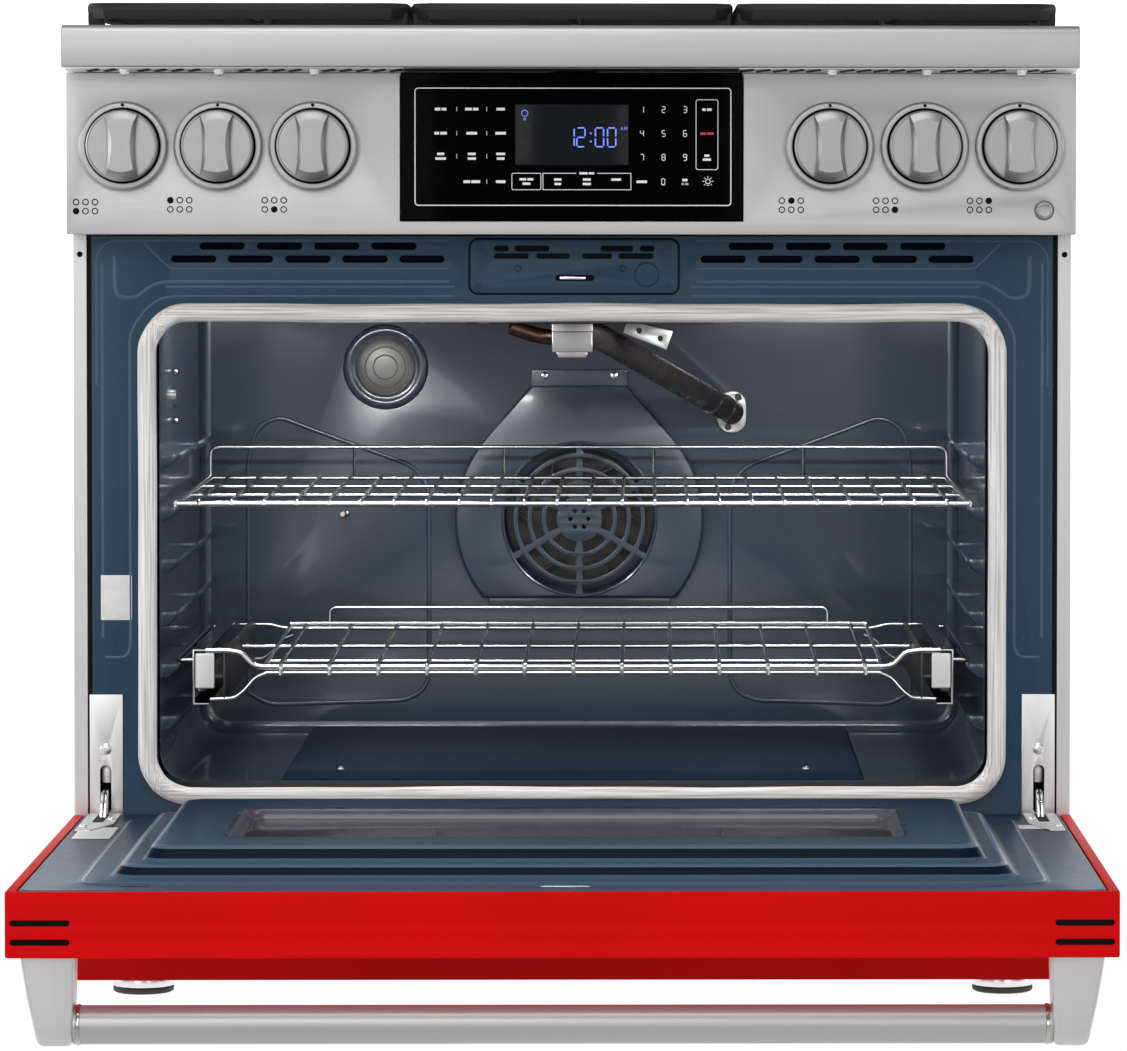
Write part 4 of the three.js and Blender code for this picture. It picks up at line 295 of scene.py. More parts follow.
def bump(tree, sockets, fac, strength, distance):
    made = node(tree, "Bump", "Height", fac, Strength=strength, Distance=distance)
    tree.links.new(made.outputs["Normal"], sockets["Normal"])


def brushed(name, color, rough, grain=(1, 1, 1), amount=0.12, metal=1.0):
    mat, tree, sockets = shader(name, color, metal, rough)
    fine = noise(tree, 900, grain, 2)
    tree.links.new(spread(tree, fine, rough - 0.02, rough + 0.03), sockets["Roughness"])
    patches = tint(tree, noise(tree, 40, grain), *shades(color, amount, amount * 0.6))
    tree.links.new(patches, sockets["Base Color"])
    bump(tree, sockets, fine, 0.03, 0.0001)
    return mat


def enamel(name, color, rough, gloss, speckle=None, ripple=0.012, coat=0.0, shade_gradient=None):
    """Fired enamel, with fine pale specks, and on the door's liner a painted shade, darker towards the oven.
    """
    mat, tree, sockets = shader(name, color, 0.0, rough, Coat_Weight=coat, Coat_Roughness=0.06,
                                Specular_IOR_Level=gloss)
    base = tint(tree, noise(tree, 9, detail=2), *shades(color, 0.05, 0.05))
    if shade_gradient:
        # painted shade: the colour darkens with depth, from the liner's free edge towards the oven
        base = tint(tree, depth(tree, 0, 1, -0.6, -0.03), *shade_gradient, 0.1, 1)
    if speckle:
        mix = tree.nodes.new("ShaderNodeMix")
        mix.data_type = "RGBA"
        specks = spread(tree, noise(tree, 520, detail=0), 0, 0.5, 0.8, 0.84)
        tree.links.new(specks, mix.inputs["Factor"])
        tree.links.new(base, mix.inputs["A"])
        mix.inputs["B"].default_value = (*speckle, 1)
        base = mix.outputs["Result"]
    tree.links.new(base, sockets["Base Color"])
    tree.links.new(spread(tree, noise(tree, 60), rough - 0.015, rough + 0.02), sockets["Roughness"])
    bump(tree, sockets, noise(tree, 220, detail=1), ripple, 0.0002)
    return mat


def plain(name, color, metallic, rough, scale, swing=0.15, bumpy=0.0, vary=1.0, **more):
    mat, tree, sockets = shader(name, color, metallic, rough, **more)
    fac = noise(tree, scale)
    tree.links.new(tint(tree, fac, *shades(color, swing, swing)), sockets["Base Color"])
    uneven = spread(tree, fac, max(0, rough - 0.05 * vary), rough + 0.06 * vary)
    tree.links.new(uneven, sockets["Roughness"])
    if bumpy:
        bump(tree, sockets, fac, bumpy, 0.0004)
    return mat


def glow(name, color, strength):
    mat, tree, sockets = shader(name, color, 0.0, 0.5, Emission_Color=(*color, 1), Emission_Strength=strength)
    tree.links.new(tint(tree, noise(tree, 900), *shades(color, 0.1, 0)), sockets["Base Color"])
    return mat


def woven(name, stretch):
    """Glass-fibre braid whose strands run along one axis."""
    mat, tree, sockets = shader(name, (0.55, 0.52, 0.49), 0.0, 0.9, Sheen_Weight=0.2)
    strands = noise(tree, 620, stretch, 2)
    both = node(tree, "Math", 0, strands)
    tree.links.new(noise(tree, 240, detail=1), both.inputs[1])
    half = node(tree, "Math", 0, both.outputs[0])
    half.operation = "MULTIPLY"
    half.inputs[1].default_value = 0.5
    threads = tint(tree, strands, (0.5, 0.47, 0.45), (0.9, 0.87, 0.85), 0.32, 0.6)
    tree.links.new(threads, sockets["Base Color"])
    bump(tree, sockets, half.outputs[0], 0.5, 0.0012)
    return mat


ACROSS, UP = (0.02, 1, 1), (1, 1, 0.02)
STEEL_X = brushed("steel_brushed_across", (0.47, 0.464, 0.462), 0.47, ACROSS, 0.025)
STEEL_Z = brushed("steel_brushed_up", (0.7, 0.695, 0.69), 0.4, UP, 0.03)
STEEL_SIDE = brushed("steel_side", (0.6, 0.597, 0.595), 0.42, UP, 0.02)
GALVANISED = brushed("galvanised_sheet", (0.5, 0.503, 0.51), 0.45, amount=0.06)
STEEL_DIAL = brushed("steel_dial", (0.37, 0.364, 0.362), 0.4, (1, 1, 0.03), 0.03)
STEEL_BAR = brushed("steel_bar", (0.46, 0.455, 0.45), 0.34, ACROSS, 0.03, 0.5)
STRIP = brushed("vent_strip_steel", (0.93, 0.92, 0.915), 0.5, ACROSS, 0.03)
ZINC = brushed("zinc_plate", (0.74, 0.73, 0.725), 0.42, (1, 1, 0.08), 0.1)
CHROME = brushed("chrome_wire", (0.86, 0.85, 0.84), 0.2, amount=0.08)
# a dark copy of the chrome for the racks' lengthwise wires: a painted dark reflection
CHROME_PAINTED_SHADE = brushed("chrome_wire_painted_shade", (0.2, 0.2, 0.205), 0.2, amount=0.2)
CHROME_PLATE = brushed("chrome_plate", (0.62, 0.6, 0.58), 0.16, amount=0.25)
DARK_STEEL = brushed("heat_darkened_steel", (0.17, 0.152, 0.143), 0.3, amount=0.25)
BRONZED = brushed("heat_tinted_tube", (0.16, 0.1, 0.07), 0.3, amount=0.5)
BRASS = brushed("brass", (0.62, 0.44, 0.2), 0.3, amount=0.15)
SPECK = (0.1, 0.15, 0.2)
RED = enamel("red_coating", (0.66, 0.002, 0.0027), 0.5, 0.06, None, 0.015)
# a darker copy of the red for the kick panel: painted shade under the open door
RED_KICK_PAINTED_SHADE = enamel("red_coating_kick_painted_shade", (0.35, 0.0012, 0.0012), 0.5, 0.06, None, 0.015)
BLUE = enamel("blue_enamel", (0.021, 0.052, 0.09), 0.34, 0.22, SPECK)
# a lighter copy of the blue for the pressed ridges: a painted highlight along them
BLUE_RIDGE_HIGHLIGHT = enamel("blue_enamel_painted_highlight", (0.05, 0.095, 0.145), 0.3, 0.3, SPECK)
CAVITY = enamel("dark_blue_enamel", (0.041, 0.06, 0.086), 0.2, 0.5, (0.1, 0.14, 0.18), coat=0.3)
# the door's liner: a painted shade, lighter at its free edge and darker towards the oven
LINER = enamel("door_enamel", (0.024, 0.05, 0.088), 0.34, 0.03, SPECK, 0.009,
               shade_gradient=((0.06, 0.105, 0.155), (0.01, 0.022, 0.042)))
# copies of the liner's enamel: a painted highlight for the crests, painted shade for the raised flat and for
# the feet
LINER_PAINTED_HIGHLIGHT = enamel("door_enamel_painted_highlight", (0.08, 0.13, 0.19), 0.3, 0.2, None, 0.009)
LINER_TOP_PAINTED_SHADE = enamel("door_enamel_raised_painted_shade", (0.012, 0.026, 0.047), 0.28, 0.1, SPECK, 0.009)
LINER_PAINTED_SHADE = enamel("door_enamel_painted_shade", (0.004, 0.011, 0.022), 0.3, 0.03, None, 0.009)
IRON = plain("enamelled_iron", (0.012, 0.012, 0.013), 0.0, 0.5, 500, 0.3, 0.35, Specular_IOR_Level=0.25)
# black for small parts and marks, and as painted shade in gaps, grooves, holes, wells and behind slots
BLACK_PARTS_AND_PAINTED_SHADE = plain("black_parts_and_painted_shade", (0.004, 0.004, 0.005), 0.0, 0.6, 200, 0.2, Specular_IOR_Level=0.1)
# dark navy behind the frame's vent slots: painted shade
BLUE_PAINTED_SHADE = plain("dark_blue_painted_shade", (0.001, 0.004, 0.01), 0.0, 0.7, 200, 0.2, Specular_IOR_Level=0.02)
RUBBER = plain("black_foot", (0.02, 0.02, 0.02), 0.0, 0.55, 400, 0.2, 0.1)
PANEL_GLASS = plain("black_panel_glass", (0.0004, 0.0004, 0.0005), 0.0, 0.08, 60, 0.1,
                    Specular_IOR_Level=0.015)
LCD = plain("display_window", (0.004, 0.005, 0.008), 0.0, 0.12, 200, 0.1, Specular_IOR_Level=0.1)
INK = plain("white_print", (0.82, 0.82, 0.8), 0.0, 0.5, 800, 0.05)
INK_GREY = plain("grey_print", (0.4, 0.4, 0.4), 0.0, 0.5, 800, 0.05)
INK_RED = plain("red_print", (0.55, 0.02, 0.03), 0.0, 0.5, 800, 0.05)
INK_BLACK = plain("black_print", (0.006, 0.006, 0.006), 0.0, 0.6, 800, 0.05, Specular_IOR_Level=0.05)
LABEL = plain("blank_foil_label", (0.7, 0.69, 0.68), 0.25, 0.4, 90, 0.06, 0.05)
FAN_STEEL = plain("fan_steel", (0.06, 0.056, 0.055), 0.6, 0.4, 300, 0.2, 0.1)
TUBE = plain("oxidised_tube", (0.1, 0.083, 0.075), 0.6, 0.27, 40, 0.12, vary=0.4)
LIGHT = plain("lamp_glass", (0.2, 0.195, 0.188), 0.5, 0.45, 60, 0.12, 0.1)
GLASS = plain("tinted_glass", (0.15, 0.143, 0.158), 0.0, 0.06, 30, 0.05, vary=0.15,
              Transmission_Weight=0.45, IOR=1.46)
PANE_EDGE = plain("pane_surround", (0.085, 0.08, 0.095), 0.0, 0.2, 30, 0.1)
DARK_GLASS = plain("dark_outer_glass", (0.012, 0.012, 0.014), 0.0, 0.04, 30, 0.05, vary=0.15,
                   Coat_Weight=0.5, Coat_Roughness=0.02)
DIGITS = glow("display_segments", (0.16, 0.22, 0.75), 0.75)
LED = glow("lamp_lens", (0.75, 0.76, 0.8), 0.25)
SEAL = woven("woven_seal", (0.015, 1, 1))
SEAL_UP = woven("woven_seal_upright", (1, 1, 0.015))

# Camera, fitted to the picture: where it stands, and its lens and shifts in the picture's pixels
EYE = (73.3, -5335.7 + SHIFT_Y, 755.2)
PICTURE, LENS, RIGHTWARD, UPWARD = 1127, 5848.3, -164.2, -154.4
scene = bpy.context.scene
camera = bpy.data.objects.new("camera", bpy.data.cameras.new("camera"))
scene.collection.objects.link(camera)
scene.camera = camera
YAW, PITCH, ROLL = radians(0.732), radians(1.949), radians(0.044)
ahead = Vector((sin(YAW) * cos(PITCH), cos(YAW) * cos(PITCH), -sin(PITCH)))
right = Vector((cos(YAW), -sin(YAW), 0))
above = right.cross(ahead)
right, above = right * cos(ROLL) + above * sin(ROLL), above * cos(ROLL) - right * sin(ROLL)
turn = Matrix((right, above, -ahead)).transposed().to_4x4()
camera.matrix_world = Matrix.Translation(Vector(EYE) * MM) @ turn
camera.data.sensor_width = 36
camera.data.lens = camera.data.sensor_width * LENS / PICTURE
camera.data.shift_x = RIGHTWARD / PICTURE
camera.data.shift_y = UPWARD / PICTURE
camera.data.clip_end = 100

# Nodes of the part that are kept as they are, with their finishes
KEPT = {STEEL_SIDE: ("side_panel_left", "side_panel_right"),
        GALVANISED: ("base_frame", "back_panel", "fan_motor"),
        RED_KICK_PAINTED_SHADE: ("kick_panel",), DARK_STEEL: ("bake_burner",), FAN_STEEL: ("convection_fan",),
        BRASS: ("gas_manifold", *(f"valve_stem_{i}" for i in range(1, 7)))}
for mat, names in KEPT.items():
    for name in names:
        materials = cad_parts[name].data.materials
        materials.clear()
        materials.append(mat)

# Feet: a rubber pad under a turned steel leg
FOOT_X = 396
PAD = [(0.1, 0.3), (25.5, 0.3), (27.6, 1.5), (28, 3.5), (28, 5.2), (27, 6.2)]
LEG = [(27, 6.2), (28.3, 6.8), (28.5, 8), (28.5, 15.5), (27.8, 16.6), (24.6, 17.4), (24, 18.4), (24, 39.2),
       (22.5, 39.7), (5, 39.7), (5, 65.5), (0.1, 65.5)]
for row, y in (("front", 40), ("rear", 535)):
    for name, side in HANDS:
        foot = Piece()
        foot.lathe("z", PAD, (side * FOOT_X, y, 0), 48, 1, True)
        foot.lathe("z", LEG, (side * FOOT_X, y, 0), caps=True)
        foot.done(f"foot_{row}_{name}", "range_body", [CHROME, RUBBER], "chrome", [f"leg_{row}_{name}"])

# Small screws beside the oven's front frame
screws = Piece()
for side in SIDES:
    screws.screw(side * 449, -0.2, 680, 2.6)
screws.done("side_screws", "range_body", [INK_BLACK], "galvanised")

# Front frame of the oven: the sheet with its vent slots, then its pressed ridges
face = Piece()
holes = [rounded(-379, 379, 190, 622, 27, 10)]
for side in SIDES:
    holes += [obround(side * x, 687.5, 41.2, 6.4) for x in (162.9, 215, 267, 319.4)]
    holes += [obround(side * x, 675.7, 41.2, 6.4) for x in (137.4, 189.2, 241.3, 293.6, 345.3)]
    holes.append(rounded(side * HINGE_X - 9, side * HINGE_X + 9, 163, 218, 2, 2))
holes.append(rounded(-91, 91, 648, 690, 6, 4))
face.plate("y", [(-438.5, 114), (438.5, 114), (438.5, 697), (-438.5, 697)], 0, 1.2, holes, 0.4)
# half width, height, corner and path of each pressed ridge of the right half
RIDGES = (
    (1.9, 0.75, 8, ((416.9, 677), (416.9, 650), (415, 642.5), (405, 640.2), (397.5, 641), (388, 648.4),
                    (378, 654), (364, 655), (113, 655))),
    (1.5, 0.7, 14, ((403.6, 328), (403.6, 604), (399.5, 615), (388, 631), (376, 639.6), (362, 641.8),
                    (108, 641.8))),
    (1.2, 0.4, 3, ((372, 650.3), (108, 650.3))),
    (1.0, 0.45, 4, ((390.5, 690.4), (378.2, 678), (366.8, 667), (113, 667))),
    (1.0, 0.3, 9, ((434, 560), (434, 680), (424, 692.3), (113, 692.3))),
    (1.4, 0.35, 4, ((428.7, 672), (428.7, 330))),
    (1.4, 0.7, 4, ((403.6, 328), (404.2, 318), (409, 311.8), (427, 311.8))),
)
for side in SIDES:
    for wide, high, turn, path in RIDGES:
        bow = [(wide * a, high * c) for a, c in arc(0, 0, 1, 0, 180, 6)]
        # the ridges and the bead at the top end take the lighter blue: a painted highlight
        face.tube(fillet([(side * x, 0.15, z) for x, z in path], turn), 1, mat=3, section=bow, up=(0, -1, 0))
    face.ball((side * 416.9, 0.2, 677.6), 2.2, 3, (1, 0.5, 1), 14)
# latch panel, set in a groove, with its slots, screws and pressed marks
slots = [obround(x, 685.5, w, 4.8) for x, w in ((-65, 13.3), (-37, 31.5), (40.3, 29.4), (67.9, 13.2))]
slots += [obround(x, 678.6, w, 4.4) for x, w in ((-55.8, 31.5), (-17.7, 30.7), (22, 27), (57.7, 32))]
slots.append(obround(2, 658.6, 35, 5))
face.plate("y", rounded(-93, 95.8, 644.8, 693.6, 7, 5), -1.2, 1.4, slots, 0.8)
# the groove and the sheets behind the latch panel's slots are black: painted shade
groove = fillet([(x, -0.1, z) for x, z in rounded(-94.2, 97, 643.8, 694.4, 8, 5)], 1, 2)
face.tube(groove, 0.8, 8, 2, loop=True)
for x in (-87, 88.3):
    for z in (687.2, 651.6):
        face.lathe("y", [(3.6, -1.1), (3.4, -2.2), (1.6, -2.3), (1.3, -1.5), (0.05, -1.4)], (x, 0, z), 20)
for x, z, r in ((-50, 667.2, 3.4), (45.8, 667.2, 3.4), (67.6, 661.7, 11.4)):
    face.lathe("y", [(r, -1.1), (r - 0.6, -2), (r - 1.2, -1.1)], (x, 0, z), 32)
face.box(-14.6, 14.6, -0.9, 40, 675.5, 688, 0, 2)
face.box(-90, 90, 2.4, 3, 648, 690, 0, 2)
face.done("front_face", "range_body", [BLUE, ZINC, BLACK_PARTS_AND_PAINTED_SHADE, BLUE_RIDGE_HIGHLIGHT], "blue_enamel", ["front_frame"])

# dark sheets behind the vent slots and in the gap beside the frame: painted shade
gaps = Piece()
for side in SIDES:
    gaps.box(side * 110, side * 371, 5, 6, 664, 696, 0, 1)
    gaps.box(side * 439, side * 442.6, 0.6, 2, 116, 697)
gaps.done("painted_shade_gaps", "range_body", [BLACK_PARTS_AND_PAINTED_SHADE, BLUE_PAINTED_SHADE], "galvanised")
label = Piece()
label.plate("y", rounded(-430.6, -402.3, 346, 387, 0.8, 2), -0.45, -0.05, (), 0.1)
label.done("blank_label_frame", "range_body", [LABEL], "galvanised")
latch = Piece()
latch.box(-11.9, 11.9, -0.9, 59.8, 657.2, 659.8, 0.5)
latch.done("latch_strip", "door_latch", [CHROME], "galvanised", ["door_latch"])

# Gasket: a braid that lies a little uneven, apart from its straight top
seal = Piece()
section = [(-8.4, 0.0), (-8.3, 3.2), (-7, 6.4), (-4.4, 8.6), (-1.5, 9.3)]
section += [(-a, c) for a, c in reversed(section)]
ring = [Vector(p) for p in rounded(-388, 388, 184.7, 627.5, 37.6, 12)]
steps = []
# the straight sides are split, so that the rope can wave a little
for p, q in zip(ring, ring[1:] + ring[:1]):
    parts = max(1, int((q - p).length / 22))
    steps += [p.lerp(q, i / parts) for i in range(parts)]
path = []
for i, p in enumerate(steps):
    wave = 0.5 * sin(i * 0.37) + 0.3 * sin(i * 0.93 + 1)
    top = p.y > 600
    path.append((p.x + (0 if top else wave * 0.5), -0.35 + 0.1 * sin(i * 0.9), p.y - 0.7 * top + wave))
seal.tube(path, 1, section=section, up=(0, -1, 0), loop=True)
for strand in seal.bm.faces:
    if abs(strand.calc_center_median().x) > 376:
        strand.material_index = 1
seal.done("door_seal", "range_body", [SEAL, SEAL_UP], "fibreglass", ["oven_gasket"])

# Oven cavity: walls, then the rear wall with its openings for the fan and the lamp
HALF_OVEN = 377
FAN_Z = 410
WALL_Y = 490
liner = Piece()


def wall(inset, y, r):
    half = HALF_OVEN - inset
    return [(x, y, z) for x, z in rounded(-half, half, 197.5 + inset, 650 - inset, r, 10)]


shell = [wall(0, y, 27) for y in (1.9, 250, 480)]
for i in range(1, 6):
    t = radians(18 * i)
    shell.append(wall(10 * (1 - cos(t)), 480 + 10 * sin(t), 27 - 9 * (1 - cos(t))))
liner.rings(shell, 0, False)
openings = [circle(0, FAN_Z, 80, 48), circle(-193, 561, 42.5, 48)]
liner.plate("y", [(x, z) for x, y, z in wall(10, WALL_Y, 18)], WALL_Y, 491.4, openings, 0.1)
liner.lathe("y", [(80, WALL_Y), (80, 530), (74, 535), (9, 535)], (0, 0, FAN_Z))
groove = [(2.4 * a, 1.5 * c) for a, c in arc(0, 0, 1, 0, 180, 6)]
# a pressed line on each half of the rear wall, round a shape like a tall leaf
PRESSED = ((-330, 236), (-330, 470), (-322, 500), (-300, 512), (-262, 497), (-165, 462), (-150, 440),
           (-150, 250), (-158, 236), (-175, 228), (-310, 224), (-330, 236))
LEDGE_TOP, LEDGE_STEP, LEDGE_DEEP = 256.4, 48, 15.6
for side in SIDES:
    path = fillet([(side * x, WALL_Y + 0.2, z) for x, z in PRESSED], 26, 6)
    liner.tube(path, 1, section=groove, up=(0, -1, 0))
    # rack ledges, pressed out of the wall in a front and a back length
    for k in range(6):
        top = LEDGE_TOP + LEDGE_STEP * k
        for y0, y1 in ((16, 222), (256, 462)):
            rings = []
            for y, s in ((y0, 0.12), (y0 + 5, 0.8), (y0 + 11, 1), (y1 - 11, 1), (y1 - 5, 0.8), (y1, 0.12)):
                d = LEDGE_DEEP * s
                ledge = ((0.5, -14), (-d * 0.4, -12.6), (-d * 0.8, -8), (-d, -4), (-d, -1.6),
                         (-d + 1.3, -0.3), (0.5, -0.1))
                rings.append([(side * (HALF_OVEN + a), y, top + h) for a, h in ledge])
            liner.rings(rings)
    # bead along the foot of the side wall
    liner.tube(fillet([(side * 376.8, 30, 232), (side * 376.8, 462, 232)], 5), 1.3, 8)
# probe socket on the left wall
liner.lathe("x", [(11, 0), (11, 4), (9, 5), (5, 5), (5, 2), (0.1, 2)], (-HALF_OVEN, 150, 545), 28, 2)
for z in (522, 568):
    liner.ball((-374, 150, z), 3.4, 2)
liner.done("oven_liner", "range_body", [CAVITY, BLACK_PARTS_AND_PAINTED_SHADE, CHROME_PLATE], "cavity_enamel", ["oven_cavity"])

sensor = Piece()
for x, z in ((-233.5, 415), (0, 640)):
    sensor.lathe("y", [(4.4, 489.8), (4.4, 486.5), (3, 485.4), (0.05, 485.2)], (x, 0, z), 20)
sensor.tube(fillet([(-233.5, 489.5, 415), (-233.5, 470, 415), (-233.5, 440, 417)], 8), 2.4, 10)
sensor.done("oven_sensor", "range_body", [CHROME_PLATE], "chrome")

# Oven lamp: its ring, the ribbed dome and the well behind them
lamp = Piece()
at = (-193, WALL_Y, 561)
DOME = 30
lamp.lathe("y", [(41.3, 1.4), (41.3, -1.6), (39.5, -3), (36, -3.6), (33.5, -2.8), (31, -2), (30, -2)], at, 64)
dome = [(DOME * cos(radians(a)), -2.2 - 6.3 * sin(radians(a))) for a in range(0, 91, 9)]
dome[-1] = (0.05, dome[-1][1])
lamp.lathe("y", dome, at, 64, 1)
for r in (12, 20, 27):
    rise = -2.2 - 6.3 * sqrt(1 - (r / DOME) ** 2)
    lamp.tube(hoop(at[0], at[1] + rise, at[2], r, 40), 0.7, 8, 1, loop=True)
lamp.lathe("y", [(41.3, 1.4), (30, 30), (0.1, 34)], at, 32)
lamp.done("lamp_and_ring", "range_body", [CAVITY, LIGHT], "lamp_glass", ["oven_lamp"])

# Floor cover, narrower towards the back
cover = Piece()
rings = []
for x0, s in ((-1, 0), (-0.985, 1), (0.985, 1), (1, 0)):
    rings.append([(x0 * min(283 - (y - 20) / 30, 267.5), y, 198 + (z - 198) * s) for y, z in (
        (20, 198), (22, 199.4), (37, 203.4), (41, 204), (466, 204), (470, 202.6), (470, 198))])
cover.rings(rings)
for x in (-215, 215):
    cover.screw(x, 55, 203.8, 4.2, "z", 1, 1)
cover.done("floor_plate", "range_body", [LINER, CHROME_PLATE], "cavity_enamel", ["oven_floor_cover"])

# Broil burner under the roof, with the tube that feeds it from the rear wall
broil = Piece()
broil.box(-150, 150, 110, 400, 614, 630, 3)
for x in (-143, 143):
    for y in (117, 393):
        broil.box(x - 6.5, x + 6.5, y - 6.5, y + 6.5, 629, 649.5, 1)
# the feed tube, with two narrow bands near the flange at its end
bend, end = (14, 140, 606), Vector((152, 488, 516))
broil.tube(fillet([(-6, 126, 612), bend, end], 30, 6), 12.4, 28)
back = (Vector(bend) - end).normalized()
for k in (22, 60):
    broil.tube([end + back * k, end + back * (k + 3)], 13.2, 28)
holes = [circle(158, 531, 3), circle(148, 501, 3)]
broil.plate("y", rounded(137.6, 166.4, 495, 537, 13.5, 8), 486.4, 489.6, holes, 0.7, 1)
broil.plate("y", [(-21, 587), (17, 587), (17, 607), (-21, 607)], 108, 112, (), 1.5, 1)
broil.plate("y", [(-15, 582), (11, 582), (13, 588), (-17, 588)], 108.5, 111, (), 1, 1)
broil.box(-21, 17, 111, 127, 600, 614, 1, 1)
holes = [circle(60, 606.5, 2.4, 16), circle(80, 599, 2.4, 16)]
broil.plate("y", [(45, 604), (86, 588), (92, 606), (60, 614), (48, 614)], 150, 152.4, holes, 0.8, 1)
broil.done("broiler", "range_body", [TUBE, STEEL_DIAL], "dark_steel", ["broil_burner"])
stub = Piece()
stub.tube(fillet([(-60, 125, 611), (-35, 130, 602), (-16, 136, 600)], 10), 7.5, 20)
stub.done("heated_tube", "range_body", [BRONZED], "dark_steel")

# Fan cover: a pear-shaped pan with a ring grille
shroud = Piece()


def pear(inset):
    """A circle round the fan that runs up into a narrower flat top, cut straight at its foot."""
    r = 124 - inset
    x, z = 48 - inset * 0.6, 543 - inset * 0.6
    low = degrees(asin((331 + inset - FAN_Z) / r))
    tangent = degrees(atan2(z - FAN_Z, x) - acos(r / hypot(x, z - FAN_Z)))
    half = arc(0, FAN_Z, r, low, tangent, 16) + [(x, z)]
    return half + [(-a, c) for a, c in reversed(half)]


slots = []
for r0, r1 in ((23, 33), (38, 47), (52, 61), (66, 74.5)):
    half = 30 - degrees(3 / r0)
    for mid in range(0, 360, 60):
        outer = arc(0, FAN_Z, r1, mid - half, mid + half, 8)
        slots.append(outer + arc(0, FAN_Z, r0, mid + half, mid - half, 8))
slots += [circle(a, c, 2, 12) for a, c in circle(0, FAN_Z, 9, 6)]
shroud.plate("y", pear(2), 477.8, 480, slots, 0.8)
levels = ((2, 478.6), (0.6, 479.6), (0, 481), (0, 489.7))
shroud.rings([[(x, y, z) for x, z in pear(inset)] for inset, y in levels], 0, False)
shroud.plate("y", rounded(-48, 48, 538, 559, 3, 3), 487.2, 489.7)
shroud.tube(hoop(0, 478, FAN_Z, 76.5, 64), 1.6, 8, loop=True)
for x in (-34.5, 34.5):
    shroud.screw(x, 487.2, 552.5, 4, "y", 1)
shroud.box(-91, 91, 486, 489.7, 322, 333, 1.5)
shroud.done("fan_shroud", "range_body", [CAVITY, CHROME_PLATE], "cavity_enamel", ["fan_cover"])

# Upper rack: it lies a little lower at its front
rack = Piece()
z = 451.7
HALF_RACK = 364
for side in SIDES:
    x = side * HALF_RACK
    rack.tube([(x, 36, z - 1.4), (x, 443, z + 1)], 3, 14)
    rack.tube(fillet([(x, 60, z - 1.3), (x, 36, z - 1.4), (side * 350, 35, z - 1.4)], 6), 3, 14)
rack.across(HALF_RACK, 35, z - 1.4, 2.9, 14)
for y, rise in ((444, 1), (171, -0.9), (308, 0)):
    rack.across(HALF_RACK, y, z + rise, 1.9)
# the lengthwise wires and the guard's uprights take the dark chrome: a painted dark reflection
for i in range(24):
    x = (i - 11.5) * 29.9
    rack.tube([(x, 36, z + 2.1), (x, 444, z + 3.9)], 1.6, 8, 1)
    rack.tube(fillet([(x, 32.6, z - 2.4), (x, 33, z + 1.8), (x, 40, z + 2.4)], 3, 3), 1.8, 8)
GUARD_Z = 483.4
guard = ((-HALF_RACK, z), (-HALF_RACK, GUARD_Z), (HALF_RACK, GUARD_Z), (HALF_RACK, z))
rack.tube(fillet([(a, 444, c) for a, c in guard], 9), 1.9)
for x in (-222, -74, 74, 222):
    rack.tube([(x, 444, z), (x, 444, GUARD_Z)], 1.5, 8, 1)
rack.done("rack_upper", "upper_rack", [CHROME, CHROME_PAINTED_SHADE], "chrome", ["upper_rack"])

# Outer channels of the glides, hooked to the wall
for name, side in HANDS:
    glide = Piece()
    channel = ((335, 265), (350, 265), (350, 316), (335, 316), (335, 314.4), (348.4, 314.4), (348.4, 266.6),
               (335, 266.6))
    glide.plate("y", [(side * x, z) for x, z in channel], 36.5, 439.8, (), 0.35)
    hook = ((349.6, 43, 306), (361.5, 43, 306), (364, 46, 306.8), (364, 434, 306.8), (361.5, 437, 306),
            (349.6, 437, 306))
    glide.tube(fillet([(side * x, y, z) for x, y, z in hook], 4), 1.9)
    glide.done(f"glide_{name}", "range_body", [CHROME_PLATE], "dark_steel", [f"glide_rail_{name}"])

# Lower rack, hung between the inner rails of the glides
rack = Piece()
FRONT, REAR = 38, 437
for side in SIDES:
    rack.box(side * 338.8, side * 347.4, 44, 439.5, 276, 305, 1.5, 1)
    rack.box(side * 320, side * 322, 36.2, 439.5, 270, 316, 0.6, 3)
    rack.box(side * 321, side * 340.4, 40, 439.5, 288.6, 292.4, 0.8, 3)
    rack.plate("y", rounded(side * 330, side * 347.8, 280, 312.5, 1.6, 3), 36.2, 39.4, (), 0.7, 2)
    # end bars that step down from the rail to the wires, and thinner ones under them
    top = ((338, 315), (318, 315), (305, 313), (294, 302), (284, 301))
    low = ((334, 271), (312, 272), (303, 279), (293, 291), (282, 295.4))
    near = [(side * x, FRONT, z - 1 if z < 305 else z) for x, z in top]
    far = [(side * x, REAR, min(z, 305) + 3.4) for x, z in top]
    rack.tube(fillet(near, 5), 2.8)
    rack.tube(fillet(far, 5), 2)
    for y, rise in ((FRONT, -0.9), (REAR, 2.5)):
        rack.tube(fillet([(side * x, y, z + rise) for x, z in low], 5), 1.9)
    rack.tube([(side * 284, FRONT, 300), (side * 284, REAR, 307.6)], 2)
rack.across(285, FRONT, 300, 2.8, 14)
for half, y, z, r in ((283, FRONT, 294.5, 1.9), (285, REAR, 309.4, 2), (283, REAR, 304.6, 1.9),
                      (318, 239, 302.6, 2), (284, 102, 299.8, 2)):
    rack.across(half, y, z, r)
# the lengthwise wires take the dark chrome: a painted dark reflection
for i in range(13):
    x = (i - 6) * 44.8
    rack.tube([(x, 40, 303.4), (x, REAR, 308.6)], 1.7, 8, 4)
    rack.tube(fillet([(x, 35.4, 292.7), (x, 34.4, 300), (x, 37.4, 303.4), (x, 46, 303.6)], 3, 3), 2.1, 8)
rack.tube(fillet([(-246, REAR, 306), (-246, REAR, 325), (246, REAR, 325), (246, REAR, 306)], 7), 1.9)
rack.done("rack_lower", "lower_rack", [CHROME, CHROME_PLATE, ZINC, FAN_STEEL, CHROME_PAINTED_SHADE], "chrome",
          ["lower_rack"])

